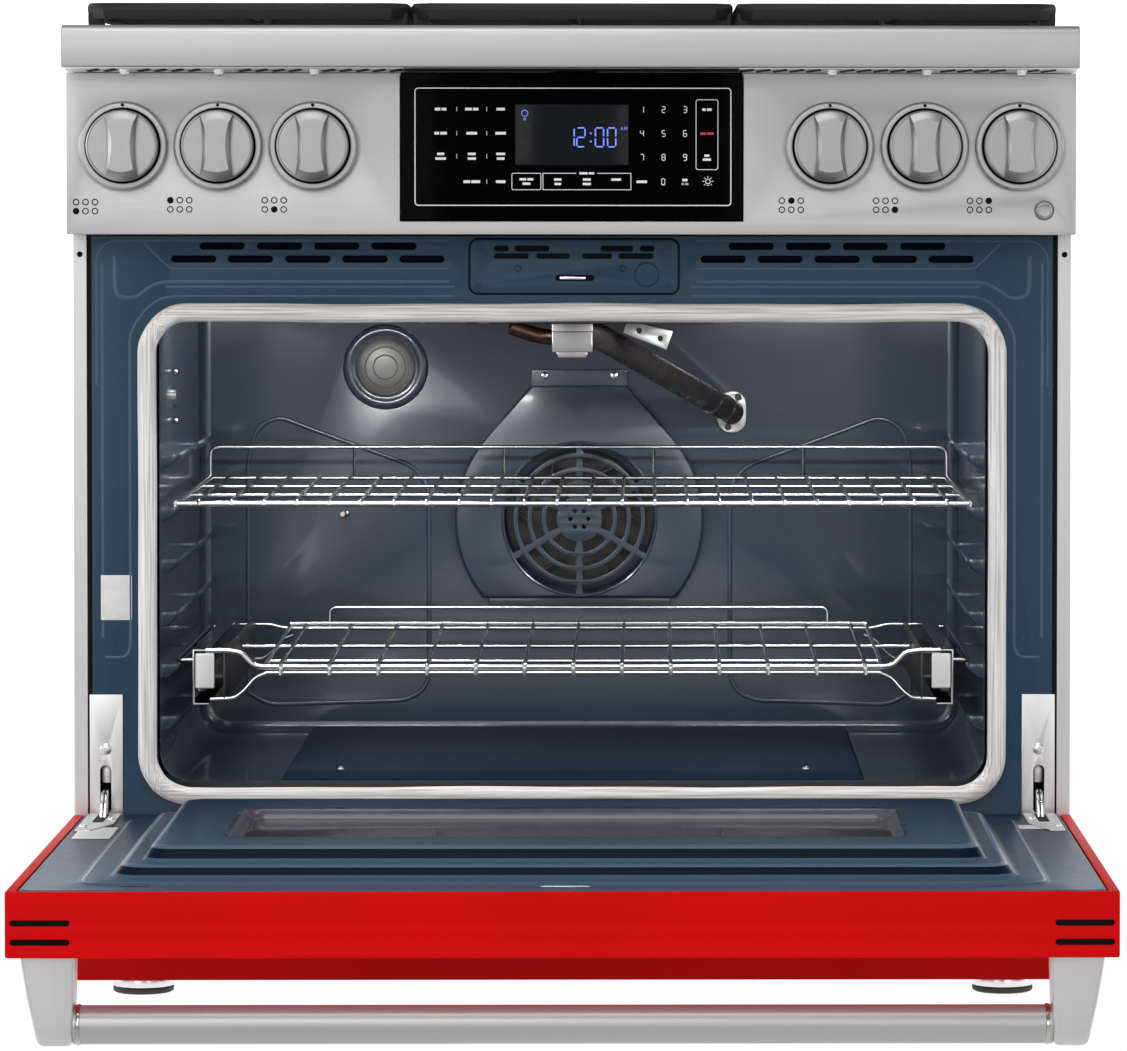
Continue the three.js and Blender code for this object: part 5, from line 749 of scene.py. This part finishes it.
# Hinges: the hooked arms and their slotted plates on the body, then the plates on the door
PIN = (-34.9, 145.5)
ARM = [(-43.6, 146), (-43.2, 154), (-26.5, 180), (-17, 187), (-6, 190.6), (8, 191), (30, 191), (38.6, 186),
       (39, 172), (36, 170.4), (-10, 170.4), (-15, 168), (-18, 161), (-25.5, 147), (-30, 137.5), (-39.5, 137)]
LEAVES = ((411, -12.3), (421.5, -12.3), (421.5, -80), (423, -84), (430, -84), (431.5, -80), (431.5, -12.3),
          (441, -12.3), (441, -147), (438, -148), (427, -148), (411, -97))
for name, side in HANDS:
    arm = Piece()
    x = side * HINGE_X
    slot = [(side * a, c) for a, c in rounded(421.5, 431.5, 168.6, 213, 4.8, 6)]
    cover = [(side * a, c) for a, c in ((410.8, 161), (441, 161), (441, 278), (410.8, 278))]
    arm.plate("y", cover, -1.9, -0.3, [slot, circle(x, 228, 2.6, 16)], 0.4)
    rivet = [(5.4, -1.8), (5.4, -2.8), (4, -4.2), (1.4, -4.6), (1.2, -3.6), (0.05, -3.5)]
    arm.lathe("y", rivet, (x, 0, 228), 24)
    arm.box(x - 9, x + 9, 2, 46, 167.2, 169, 0.4, 1)
    arm.box(x - 9, x - 7.4, 0, 46, 167, 214.4, 0.4, 1)
    arm.box(x + 7.4, x + 9, 0, 46, 167, 214.4, 0.4, 1)
    arm.box(x - 7, x + 7, 30, 46, 169, 214, 0.8, 1)
    arm.box(x - 4.6, x + 4.6, 8, 24, 196, 213, 1.2)
    arm.tube([(x - 8.4, 30, 182), (x + 8.4, 30, 182)], 4, 20, 1)
    for dx in (-1.7, 1.7):
        arm.plate("x", ARM, x + dx - 1.3, x + dx + 1.3, [circle(*PIN, 4.4, 24)], 0.6, 2)
    arm.done(f"hinge_arm_{name}", "range_body", [ZINC, BLACK_PARTS_AND_PAINTED_SHADE, CHROME], "galvanised",
             [f"hinge_receiver_{name}"])

    leaf = Piece()
    leaf.plate("z", [(side * a, c) for a, c in LEAVES], 168.7, 170.2, (), 0.4)
    for dx in (-6, 6):
        leaf.box(x + dx - 1, x + dx + 1, -82, -13, 129, 170, 0.4)
    leaf.box(x - 6, x + 6, -90, -84.2, 129, 169.5, 0.6)
    leaf.tube([(x - 6, *PIN), (x + 6, *PIN)], 4, 24, 1)
    for a, c in ((416, -60), (436, -118)):
        leaf.screw(side * a, c, 170, 3.4, "z", 1, 1)
    leaf.done(f"hinge_plate_{name}", "door", [ZINC, CHROME], "galvanised", [f"door_hinge_{name}"])

# Door shell: the front sheet, folded sides and far edge, and the near edge with its slots
NEAR, FAR = -580.4, -8.1
skin = Piece()
sheet = rounded(-453.7, 453.7, NEAR + 1.3, FAR - 1.3, 3, 3)
skin.plate("z", sheet, 114, 115.6, [rounded(-275, 275, -398, -200, 12, 4)])
for side in SIDES:
    skin.box(side * 453.2, side * HALF_BODY, NEAR + 1.6, FAR, 114.2, 168.2, 0.8, 0, 3)
skin.box(-454, 454, FAR - 1.8, FAR, 114.2, 166.5, 0.8, 0, 3)
holes = [obround(side * 426.6, z, 48.6, 5) for side in SIDES for z in (142.6, 126.8)]
skin.plate("y", rounded(-HALF_BODY, HALF_BODY, 114, 168.3, 2.2, 4), NEAR, NEAR + 1.9, holes, 0.7, 0, 3)
for side in SIDES:
    skin.box(side * 446.2, side * HALF_BODY, NEAR + 1, FAR - 0.3, 166.8, 168.35, 0.7, 0, 3)
skin.box(-454.5, 454.5, NEAR + 0.2, NEAR + 4.6, 166.8, 168.35, 0.7, 0, 3)
skin.box(-454.5, 454.5, FAR - 4.4, FAR - 0.9, 165.6, 167.2, 0.7, 0, 3)
# black sheets behind the slots in the near edge: painted shade
for side in SIDES:
    skin.box(side * 400, side * 452.6, NEAR + 4, NEAR + 6, 118, 160, 0, 1)
skin.done("door_shell", "door", [RED, BLACK_PARTS_AND_PAINTED_SHADE], "red_enamel", ["door_skin"])

# Door liner, from its rim in to the window: half width, near and far edge, height, corner
inner = Piece()
LEVELS = (
    (444.6, -574.4, -13.5, 167, 6), (444.6, -574.4, -13.5, 168.2, 6),
    (443.6, -573.4, -14.5, 168.9, 6), (440, -570.4, -17.5, 168.9, 7),
    (404, -541, -47.5, 168.6, 22), (401.5, -539, -49.5, 169, 22), (399, -537, -51.5, 170.2, 22),
    (397, -535.5, -53, 170.6, 22), (379, -510, -80, 170.6, 24), (376.5, -507.6, -82.6, 171.1, 24),
    (374, -505.5, -85, 173, 24), (369.5, -501.5, -89, 179, 23), (367, -499, -91.6, 180.6, 22),
    (364, -496, -94.6, 181, 21), (355, -485, -98.5, 181, 20), (352.5, -482.6, -100.8, 181.6, 20),
    (350.3, -480.6, -102.8, 184, 19), (346, -476.6, -106.8, 191.6, 18), (343.5, -474, -109.4, 193.8, 17),
    (340.5, -471, -112.4, 194.35, 16), (290, -414, -184.5, 194.35, 15), (286.5, -410.5, -188, 193.6, 14.5),
    (282, -405.8, -193, 189.5, 14), (279.4, -403, -195.8, 186, 13.5), (279, -402.4, -196.2, 185.4, 13),
    (278.8, -402.2, -196.4, 181, 13),
)
rings = [[(x, y, z) for x, y in rounded(-half, half, near, far, r, 8)] for half, near, far, z, r in LEVELS]
# painted highlights on the crests, painted shade at the feet and on the raised flat, and the window's
# surround, by the strip between two levels
BANDS = {6: 3, 10: 4, 11: 3, 12: 3, 16: 4, 17: 3, 18: 3, 20: 6, 21: 5, 22: 5, 23: 5, 24: 5}
inner.rings(rings, 0, False, bands=BANDS)
# latch strip and small pressed marks near the free edge
inner.plate("z", obround(2, -549, 42, 5.5), 168.4, 169.6, (), 0.5, 1)
for side in SIDES:
    inner.plate("z", obround(side * 352, -545, 24, 6), 168.6, 170)
    inner.box(side * HINGE_X - 8, side * HINGE_X + 8, -88, -13.2, 168.95, 169.15, 0, 2)
inner.done("door_inner", "door", [LINER, CHROME_PLATE, BLACK_PARTS_AND_PAINTED_SHADE, LINER_PAINTED_HIGHLIGHT, LINER_PAINTED_SHADE, PANE_EDGE, LINER_TOP_PAINTED_SHADE],
           "blue_enamel", ["door_liner"], 30)
labels = Piece()
labels.plate("z", rounded(-438, -404, -206, -118, 1, 2), 168.95, 169.35, (), 0.12)
labels.plate("z", rounded(398, 428, -133, -104, 1, 2), 168.95, 169.35, (), 0.12)
labels.done("blank_labels_door", "door", [LABEL], "galvanised")
for name, low, high, mat, slot, node_name in (
        ("inner_pane", 181.2, 185.05, GLASS, "clear_glass", "door_glass"),
        ("outer_pane", 115.9, 119.7, DARK_GLASS, "outer_glass", "door_outer_glass")):
    pane = Piece()
    pane.plate("z", rounded(-290.5, 290.5, -413.5, -184.5, 12, 5), low, high, (), 0.5)
    pane.done(name, "door", [mat], slot, [node_name])

# Handle: the bar and its two posts, which taper away from the door
handle = Piece()
at = (0, -553, 55.8)
ROOT, TIP = 113.7, 39.8
bar = [(0.1, -402), (15.2, -402), (16, -401), (16, 401), (15.2, 402), (0.1, 402)]
handle.lathe("x", bar, at, 64, 1, True)
POST = ((0, 399.6, 444, 17, 2.5), (0.1, 399.7, 442.9, 17, 3), (0.5, 400.4, 438, 17, 3.5),
        (0.78, 401, 433.4, 16.8, 4), (0.9, 401.4, 431.6, 16.2, 4.5), (0.97, 402, 430.2, 14.6, 5),
        (1, 404, 428, 11.5, 5))
for side in SIDES:
    rings = []
    for t, x0, x1, half, r in POST:
        outline = rounded(side * x0, side * x1, at[1] - half, at[1] + half, r, 5)
        rings.append([(x, y, ROOT - t * (ROOT - TIP)) for x, y in outline])
    handle.rings(rings)
    collar = [(16.3, side * 399.4), (16.9, side * 398.6), (16.9, side * 396.2), (16.1, side * 395.6)]
    handle.lathe("x", collar, at, 48, 2)
handle.done("handle_and_posts", "door", [STEEL_Z, STEEL_BAR, CHROME_PLATE], "stainless", ["door_handle"])

# Bullnose rail
rail = Piece()
nose = [(-96 - 9 * sin(radians(a)), 877.2 + 9 * cos(radians(a))) for a in range(0, 91, 10)]
outer = [(-45.3, 886.2)] + nose + [(-105, 851), (-104.6, 849.2), (-103.2, 848.2), (-101.5, 847.9)]
section = outer + [(-101.5, 850), (-103, 851.6), (-103, 876), (-96, 884.2), (-45.3, 884.2)]
rings = []
for x, grow in ((-455, 0.8), (-454.5, 0.2), (-453.6, 0), (453.6, 0), (454.5, 0.2), (455, 0.8)):
    rings.append([(x, y + grow * 0.5 * (i < len(outer)), z - grow * 0.5 * (i < 4))
                  for i, (y, z) in enumerate(section)])
rail.rings(rings)
end = [(-45.3, 885.8)] + [(y + 0.3, z - 0.3) for y, z in nose]
end += [(-104.7, 858), (-99, 852), (-92, 849.2), (-60, 845.2), (-45.3, 845.2)]
for side in SIDES:
    rail.plate("x", end, side * 453.2, side * (HALF_BODY - 0.1), (), 0.5)
rail.done("bullnose_rail", "range_body", [STEEL_X], "stainless", ["bullnose"])

# Slotted strip that slopes under the rail, with its lamps
strip = Piece()
LAMPS = (-400.1, -315.8, -230.2, 234.1, 319.1, 404.0)
y0, z0, y1, z1 = -102.8, 848.2, -60.8, 845.3
length = hypot(y1 - y0, z1 - z0)
for side in SIDES:
    low, high = sorted((side * 150, side * 453.4))
    strip.plate("z", [(low, 0), (high, 0), (high, length), (low, length)], -0.6, 0.6, (), 0.25)
    for i in range(19):
        x = side * (157.2 + 15.06 * i)
        if min(abs(x - lx) for lx in LAMPS) >= 9:
            slot = [(x + a, c * length) for a, c in ((-7.2, 0.56), (-5.4, 0.97), (7.2, 0.5), (5.4, 0.05))]
            # each slot is a thin black inlay: painted shade in place of an opening
            strip.plate("z", slot, -0.72, -0.3, (), 0.02, 2)
place = Matrix.Translation((0, y0, z0)) @ Matrix.Rotation(atan2(z1 - z0, y1 - y0), 4, "X")
bmesh.ops.transform(strip.bm, matrix=place, verts=strip.bm.verts[:])
rise = (z1 - z0) / length
strip.rings([[(x, y0 + t, z0 + t * rise + h) for t, h in ((0, -0.6), (35, -0.6), (35, 0.6), (0, 0.6))]
             for x in (-150.1, 150.1)], 3)
for x in LAMPS:
    strip.lathe("z", [(5, 1), (5.1, -1.6), (4.7, -1.9), (4.2, -1.6)], (x, -84, 846.4), 28)
    strip.ball((x, -84.4, 845.6), 4.5, 1, (1, 1, 0.9), 20)
    strip.lathe("z", [(2.6, -4.0), (2.4, -4.4), (0.05, -4.5)], (x, -84.4, 845.6), 20, 2)
strip.done("vent_strip", "range_body", [STRIP, LED, BLACK_PARTS_AND_PAINTED_SHADE, DARK_STEEL], "stainless")
# a black sheet behind the vent strip: painted shade
shade = Piece()
shade.box(-451, 451, -98, -62, 851.5, 852.5)
shade.done("vent_painted_shade", "range_body", [BLACK_PARTS_AND_PAINTED_SHADE], "galvanised")

# Cooktop: side walls, the dished tray, and the rear trim with its vent slots
tray = Piece()
wall_end = [(-45, 850), (-45, 883.5), (-43.5, 885), (608.5, 885), (610, 883.5), (610, 850)]
for side in SIDES:
    tray.plate("x", wall_end, side * 453.4, side * HALF_BODY, (), 0.5)
tray.box(-454.8, 454.8, 608.4, 610, 850, 914.6, 0.5)


def dish(inset, z, r):
    half = HALF_BODY - inset
    return [(x, y, z) for x, y in rounded(-half, half, -45 + inset, 569 - inset, r, 6)]


# inset, height and corner of the rim, the wall and the floor
DISH = ((0.3, 884, 4), (0.8, 884.9, 4), (8, 885, 9), (10, 884, 10), (11, 880, 11), (12, 870, 12),
        (15, 866.6, 13), (22, 866, 14))
tray.rings([dish(*level) for level in DISH], 0, False)
holes = [circle(x, y, 22, 24) for x in (-296, 0, 296) for y in (100, 410)]
tray.plate("z", [(x, y) for x, y, z in dish(21.5, 0, 14)], 864.4, 866, holes, 0.2)
slots = [obround(i * 124, 584, 96, 13.6) for i in range(-3, 4)]
tray.plate("z", rounded(-445, 445, 558.2, 610, 3, 3), 913, 915, slots, 0.8)
tray.box(-445, 445, 558.2, 560, 866, 914.4, 0.7)
for side in SIDES:
    tray.box(side * 443.2, side * 445, 558.6, 609.8, 880, 914.4, 0.7)
tray.done("hob_tray", "range_body", [STEEL_X], "stainless", ["cooktop_tray"])

TRAY_Z = 866
HEAD = [(20, -29.5), (20, 0.3), (51.5, 0.5), (52, 1.2), (50, 3), (43, 6), (42, 7), (42, 13), (40, 14.6)]
CAP = [(42, 14.9), (44.6, 15.4), (45, 17), (44.6, 19.4), (42.6, 21.2), (38, 22.2), (0.1, 22.4)]
for row, y in (("front", 100), ("rear", 410)):
    for name, x in (("left", -296), ("middle", 0), ("right", 296)):
        burner = Piece()
        burner.lathe("z", HEAD, (x, y, TRAY_Z), 64, 1, True)
        # the flame ports are short black rods: painted shade in the holes
        for a, c in circle(0, 0, 1, 24):
            port = Vector((x, y, TRAY_Z + 11.5))
            burner.tube([port + Vector((a, c, 0)) * r for r in (39.6, 42.2)], 1.4, 6, 2)
        burner.lathe("z", CAP, (x, y, TRAY_Z), 64, 0, True)
        burner.done(f"hob_burner_{row}_{name}", "range_body", [IRON, DARK_STEEL, BLACK_PARTS_AND_PAINTED_SHADE], "cast_iron",
                    [f"burner_{row}_{name}"])

# Grates: cast bars with a narrower rounded top
GRATE_TOP, WIDE, HALF_GRATE = 908, 11.6, 145.8
side_of_bar = [(0.36, -14.6), (0.5, -7), (0.5, -3), (0.36, -0.4), (0.2, 0)]
FRAME_BAR = [(-w * WIDE, h) for w, h in side_of_bar] + [(w * WIDE, h) for w, h in reversed(side_of_bar)]
CROSS_BAR = [(a, h - 0.3 if h == -7 else h) for a, h in FRAME_BAR]
for name, k in (("left", -1), ("middle", 0), ("right", 1)):
    grate = Piece()
    cx = k * 293.6
    i = HALF_GRATE - 6
    corners = ((-i, -17), (12 - i, -29), (i - 12, -29), (i, -17), (i, 527), (i - 12, 539), (12 - i, 539),
               (-i, 527))
    corners = [Vector((cx + x, y, GRATE_TOP)) for x, y in corners]
    loop = []
    for p, q in zip(corners, corners[1:] + corners[:1]):
        parts = max(1, int((q - p).length / 60))
        loop += [p.lerp(q, t / parts) for t in range(parts)]
    grate.tube(loop, 1, section=FRAME_BAR, up=(0, 0, 1), loop=True)
    bars = [((3 - i, 255), (i - 3, 255))]
    for y, y0, y1 in ((100, -32, 252), (410, 258, 542)):
        bars += [((3 - i, y), (-30, y)), ((30, y), (i - 3, y))]
        bars += [((0, y0), (0, y - 30)), ((0, y + 30), (0, y1))]
    for p, q in bars:
        p, q = Vector((*p, 0)), Vector((*q, 0))
        along = (q - p).normalized()
        side = Vector((along.y, -along.x, 0))
        rings = []
        for c, s in ((p, 0.9), (p + along * 0.8, 1), (q - along * 0.8, 1), (q, 0.9)):
            rings.append([(cx + c.x + side.x * a * s, c.y + side.y * a * s, 905 + (3 + h) * s)
                          for a, h in CROSS_BAR])
        grate.rings(rings)
    for x in (8 - HALF_GRATE, HALF_GRATE - 8):
        for y in (-15, 255, 525):
            grate.rings([[(cx + x + s * a, y + s * c, z) for a, c in rounded(-1, 1, -1, 1, 0.3, 3)]
                         for z, s in ((866.4, 5.4), (868, 6), (892, 7.4), (899, 7.4))])
    grate.done(f"hob_grate_{name}", "range_body", [IRON], "cast_iron", [f"grate_{name}"])

# Control panel, with a bezel for each knob and a black well round each dial: painted shade
KNOB_X = (-403.5, -318.1, -232.7, 232.7, 318.1, 403.5)
KNOB_Z = 778.5
PANEL_Y = -60
BUTTON = (426.3, PANEL_Y, 720.7)
panel = Piece()
holes = [circle(x, KNOB_Z, 34.3, 48) for x in KNOB_X] + [circle(BUTTON[0], BUTTON[2], 8.6, 24)]
holes.append([(-154.8, 710.6), (154.8, 710.6), (154.8, 842), (-154.8, 842)])
outline = [(-455, 699.5), (-454.2, 698.7), (454.2, 698.7), (455, 699.5), (455, 844.4), (-455, 844.4)]
panel.plate("y", outline, PANEL_Y, -58, holes)
panel.box(-454.8, 454.8, -59.4, -0.4, 698.7, 700.5, 0.6)
for side in SIDES:
    panel.box(side * 453.2, side * HALF_BODY, -59.4, -0.4, 699, 844.4, 0.6)
BEZEL = [(40, 0.6), (40, -6.8), (39.7, -7.8), (39, -8.4), (38.7, -8.3), (38.3, -8.8), (37.8, -9), (37.4, -9),
         (35.2, -9), (34.8, -9), (34.2, -8.8)]
for x in KNOB_X:
    panel.lathe("y", BEZEL, (x, PANEL_Y, KNOB_Z), 72, 1)
    panel.lathe("y", [(34.2, -8.8), (33.7, -8.2), (33.7, 3), (6, 3)], (x, PANEL_Y, KNOB_Z), 72, 2)
    panel.lathe("y", [(0.05, -9.2), (1.5, -9.2), (1.6, -8.9)], (x, PANEL_Y, KNOB_Z + 36.6), 16, 2)
for side in SIDES:
    panel.box(side * 154.9, side * 157.8, -59, -44.2, 832, 844, 0.3)
# the lamp switch sits in a black ring: painted shade in its groove
panel.lathe("y", [(8.6, -0.2), (8.6, 2.4), (6, 2.5)], BUTTON, 28, 2)
panel.done("panel_front", "range_body", [STEEL_X, STEEL_X, BLACK_PARTS_AND_PAINTED_SHADE], "stainless", ["control_panel"])

# Burner legends: six small rings each, one of them filled
legends = Piece()
for x0, mark in zip((-437.8, -353, -268, 198, 283, 367.7), (0, 3, 1, 4, 2, 5)):
    for n in range(6):
        x, z = x0 + (n % 3 - 1) * 8.5, 725.4 + (n // 3 - 0.5) * 8.2 - (1.7 if x0 < -430 else 0)
        ring = [(3, -0.02), (3, -0.22), (2.05, -0.22), (2.05, -0.02)]
        dot = [(0.05, -0.25), (2.9, -0.25), (3, -0.02)]
        legends.lathe("y", dot if n == mark else ring, (x, PANEL_Y, z), 24)
legends.done("burner_legends", "range_body", [INK_BLACK], "stainless")

button = Piece()
button.lathe("y", [(4, 11.2), (4, 4.4), (9.4, 4.3), (9.4, 2.4), (7.5, 2.3), (7.5, -2.2), (7, -2.9), (6, -3),
                   (5.4, -2.5), (5, -2.4), (0.1, -2.4)], BUTTON, 40, 0, True)
button.done("lamp_switch", "light_button", [STEEL_DIAL], "stainless", ["light_button"])


def grip(end, mid, limit, n=14, m=8):
    """A waisted bar whose ends follow the dial's circle."""
    reach = sqrt(limit * limit - end * end)
    flank = [(mid + (end - mid) * (2 * i / n - 1) ** 2, (2 * i / n - 1) * reach) for i in range(n + 1)]
    start = degrees(atan2(reach, end))
    half = flank + arc(0, 0, limit, start, 180 - start, m)[1:-1]
    return half + [(-a, -h) for a, h in half]


DIAL = [(4.4, -64.3), (31.4, -64.2), (32.1, -65), (32.2, -66), (32.2, -80.6), (31.9, -81.5), (31.3, -82),
        (30.7, -82.1), (30.3, -81.9), (30, -81.6), (29.4, -81.6), (4.4, -81.6)]
# half width at the ends and in the middle, reach and depth of the grip, from the dial outwards
GRIP = ((15.4, 12.4, 31.6, -81.4), (15.2, 12.2, 31.5, -86.4), (14.8, 11.8, 31.2, -87.4),
        (14.4, 11.3, 30.6, -88), (12, 8.8, 24.8, -90.5), (11.4, 8.2, 23.8, -91), (11, 7.8, 23.4, -91))
for index, x in enumerate(KNOB_X, 1):
    knob = Piece()
    knob.lathe("y", DIAL, (x, 0, KNOB_Z), 96)
    knob.lathe("y", [(4.4, -64.3), (4.4, -81.6)], (x, 0, KNOB_Z), 24, 1)
    knob.rings([[(x + a, y, KNOB_Z + h) for a, h in grip(end, mid, limit)] for end, mid, limit, y in GRIP])
    knob.done(f"dial_{index}", f"knob_{index}", [STEEL_DIAL, BLACK_PARTS_AND_PAINTED_SHADE], "stainless", [f"knob_{index}"], 28)

# Touch panel, its display and its print
GLASS_Y = -62.0
glass = Piece()
glass.plate("y", rounded(-154, 154, 711, 845, 1.5, 3), GLASS_Y, -46, (), 0.8, 0, 3)
for side in SIDES:
    glass.tube([(side * 153, -50, 838), (side * 158.9, -50, 838)], 2.5, 16, 1)
glass.done("touch_glass", "touch_panel", [PANEL_GLASS, ZINC], "black_glass", ["touch_panel"])
display = Piece()
display.plate("y", rounded(-50.7, 51, 761.2, 815.8, 0.8, 2), GLASS_Y - 0.12, GLASS_Y + 0.5, (), 0.05)
display.done("display_glass", "touch_panel", [LCD], "black_glass")

SEGMENTS = {"0": "abcdef", "1": "bc", "2": "abged", "3": "abgcd", "4": "fgbc", "5": "afgcd", "6": "afgedc",
            "7": "abc", "8": "abcdefg", "9": "abcfgd"}
# ends of each segment, as shares of the digit's half width and half height
SEGMENT_ENDS = {"a": (-1, 1, 1, 1), "b": (1, 1, 1, 0), "c": (1, 0, 1, -1), "d": (-1, -1, 1, -1),
                "e": (-1, 0, -1, -1), "f": (-1, 1, -1, 0), "g": (-1, 0, 1, 0)}


def line(ink, points, r=0.38, loop=False):
    section = [(-r, 0), (-r, 0.16), (r, 0.16), (r, 0)]
    ink.tube([(a, GLASS_Y - 0.02, c) for a, c in points], r, section=section, up=(0, -1, 0), loop=loop)


def digit(ink, text, x, z, h=5.4, w=2.9, r=0.34):
    for segment in SEGMENTS[text]:
        x0, z0, x1, z1 = SEGMENT_ENDS[segment]
        p, q = Vector((x + x0 * w / 2, z + z0 * h / 2)), Vector((x + x1 * w / 2, z + z1 * h / 2))
        line(ink, [p.lerp(q, 0.1), p.lerp(q, 0.9)], r)


ink = Piece()
line(ink, rounded(-141.1, 143.4, 725.1, 830.6, 3, 4), 0.45, True)
for k, text in enumerate("123456789"):
    digit(ink, text, 63.3 + 19.4 * (k % 3), 811.4 - 21.5 * (k // 3))
digit(ink, "0", 82.4, 746.4)
line(ink, rounded(112, 131.7, 757.4, 820.3, 2, 3), 0.3, True)
# plain small bars where the real panel has small print: x, z, height, colour and the widths in a row
BARS = (
    (121.8, 811.4, 2.3, 0, 3.2, 4.4), (121.8, 789.8, 2.3, 1, 5.2, 5.6), (121.8, 770, 2.1, 0, 4.6),
    (121.8, 766.4, 2.1, 0, 7.4), (-118, 811.7, 2.5, 0, 5, 4.4), (-90, 811.7, 2.5, 0, 6, 5),
    (-64, 811.7, 2.5, 0, 7.6), (-118, 790, 2.5, 0, 4.2, 6), (-90, 790, 2.5, 0, 9.6),
    (-64, 790, 2.5, 0, 9.4), (-118, 771.4, 2.2, 0, 6.4), (-118, 767.2, 2.2, 0, 9.6),
    (-90, 771.4, 2.2, 0, 7), (-90, 767.2, 2.2, 0, 7.4), (-64, 771.4, 2.2, 0, 8),
    (-64, 767.2, 2.2, 0, 7), (-90, 746.4, 2.5, 0, 6, 8), (-64, 746.4, 2.5, 0, 8.6),
    (-40.8, 748.6, 2.1, 0, 6, 5.4), (-40.8, 744.6, 2.1, 0, 7), (13.6, 754, 2, 0, 7.4, 5),
    (-12.6, 748.4, 2.1, 0, 6.6), (-12.6, 744.4, 2.1, 0, 5.8), (13.6, 748.4, 2.1, 0, 7),
    (13.6, 744.4, 2.1, 0, 7.4), (40, 748.4, 2.1, 0, 8.6), (63.2, 746.4, 2.3, 0, 9.4),
    (102, 748, 2.2, 0, 4.6), (102, 744.4, 1.8, 2, 2.4, 3),
)
for x, z, height, mat, *widths in BARS:
    a = x - (sum(widths) + len(widths) - 1) / 2
    for w in widths:
        ink.box(a, a + w, GLASS_Y - 0.16, GLASS_Y - 0.01, z - height / 2, z + height / 2, 0, mat)
        a += w + 1
for x in (-103.5, -76.5):
    for z in (811.7, 790, 769.3):
        line(ink, [(x, z - 2), (x, z + 2)], 0.22)
line(ink, [(-76.5, 744.4), (-76.5, 748.4)], 0.22)
line(ink, rounded(-53.9, -27.8, 739.2, 754, 1.2, 3), 0.3, True)
line(ink, [(4, 754), (-25.9, 754), (-25.9, 739.2), (53.3, 739.2), (53.3, 754), (23, 754)], 0.3)
# lamp sign: a small ring with rays
line(ink, circle(122.7, 746.8, 2.1, 16), 0.32, True)
for t in (0, 45, 90, 135, 180, 225, 315):
    line(ink, [(122.7 + r * cos(radians(t)), 746.8 + r * sin(radians(t))) for r in (3.2, 4.9)], 0.28)
line(ink, [(121.6, 743.2), (123.8, 743.2)], 0.3)
ink.done("panel_print", "touch_panel", [INK, INK_RED, INK_GREY], "black_glass")

lit = Piece()
for text, x in (("1", -1.5), ("2", 8.3), ("0", 25), ("0", 36)):
    digit(lit, text, x, 786.4, 17, 7.4, 0.62)
for z in (789.3, 781.9):
    lit.box(16.4, 17.9, GLASS_Y - 0.3, GLASS_Y - 0.14, z, z + 1.5)
line(lit, circle(-42.3, 808, 2.8, 20), 0.3, True)
for z in (803.6, 802.2):
    line(lit, [(-43.6, z), (-41, z)], 0.3)
line(lit, [(44.2, 793), (45.2, 795.6), (46.2, 793)], 0.25)
line(lit, [(47.4, 793), (47.4, 795.6), (48.6, 794.2), (49.8, 795.6), (49.8, 793)], 0.25)
bmesh.ops.translate(lit.bm, vec=(0, -0.14, 0), verts=lit.bm.verts[:])
lit.done("display_lit", "touch_panel", [DIGITS], "black_glass")

# Studio: a pale glowing floor that runs up into a low rim all round, and soft lamps
FLAT, CURVE, RIM_TOP, AROUND = 13.0, 3.0, 7.0, 60
floor_mesh = bpy.data.meshes.new("studio_floor")
ground = bmesh.new()
rim = [(FLAT, 0)] + arc(FLAT, CURVE, CURVE, -80, 0, 8) + [(FLAT + CURVE, RIM_TOP)]
rows = [[ground.verts.new((*p, height)) for p in circle(0, 0, radius, AROUND)] for radius, height in rim]
ground.faces.new(rows[0])
# the flat middle faces up and the rim faces outwards, and the floor's light depends on that
for low, high in zip(rows, rows[1:]):
    for i in range(AROUND):
        ground.faces.new((low[i - 1], low[i], high[i], high[i - 1]))
for f in ground.faces:
    f.smooth = True
ground.to_mesh(floor_mesh)
ground.free()
studio_floor = bpy.data.objects.new("studio_floor", floor_mesh)
scene.collection.objects.link(studio_floor)
studio_floor.location = (0, 0, -0.0005)
pale, tree, sockets = shader("pale_floor", (0.8, 0.8, 0.8), 0.0, 0.8, Emission_Color=(1, 1, 1, 1),
                             Specular_IOR_Level=0.1)
tree.links.new(depth(tree, 0.42, 1.02, -0.9, -0.37), sockets["Emission Strength"])
tree.links.new(tint(tree, noise(tree, 3), (0.79, 0.79, 0.79), (0.81, 0.81, 0.81)), sockets["Base Color"])
floor_mesh.materials.append(pale)

world = bpy.data.worlds.new("studio")
scene.world = world
world.use_nodes = True
fill(world.node_tree.nodes["Background"].inputs, {"Color": (0.93, 0.95, 1.0, 1), "Strength": 0.28})


def lamp_panel(name, place, aim, size, power):
    data = bpy.data.lights.new(name, "AREA")
    data.shape = "RECTANGLE"
    data.size, data.size_y = size
    data.energy = power
    obj = bpy.data.objects.new(name, data)
    scene.collection.objects.link(obj)
    obj.location = place
    obj.rotation_mode = "QUATERNION"
    obj.rotation_quaternion = (Vector(aim) - Vector(place)).to_track_quat("-Z", "Y")


lamp_panel("key_above", (-0.4, -1.4, 3.4), (0, 0, 0.6), (2.6, 1.6), 38)
lamp_panel("front_soft", (-1.0, -4.4, 2.6), (0, 0, 0.5), (2.6, 1.6), 36)
lamp_panel("low_left", (-2.0, -5.2, 1.1), (0, 0.3, 0.45), (1.6, 1.5), 18)
lamp_panel("low_right", (2.0, -5.2, 1.1), (0, 0.3, 0.45), (1.6, 1.5), 16)
lamp_panel("left_side", (-2.6, -0.35, 0.95), (-0.3, -0.1, 0.7), (1.3, 1.3), 12)
for name, side in HANDS:
    lamp_panel("oven_light_" + name, (side * 0.23, 0.015, 0.637), (side * 0.15, 0.45, 0.35),
               (0.24, 0.02), 1.1)

scene.view_settings.view_transform = "Standard"
scene.view_settings.look = "None"
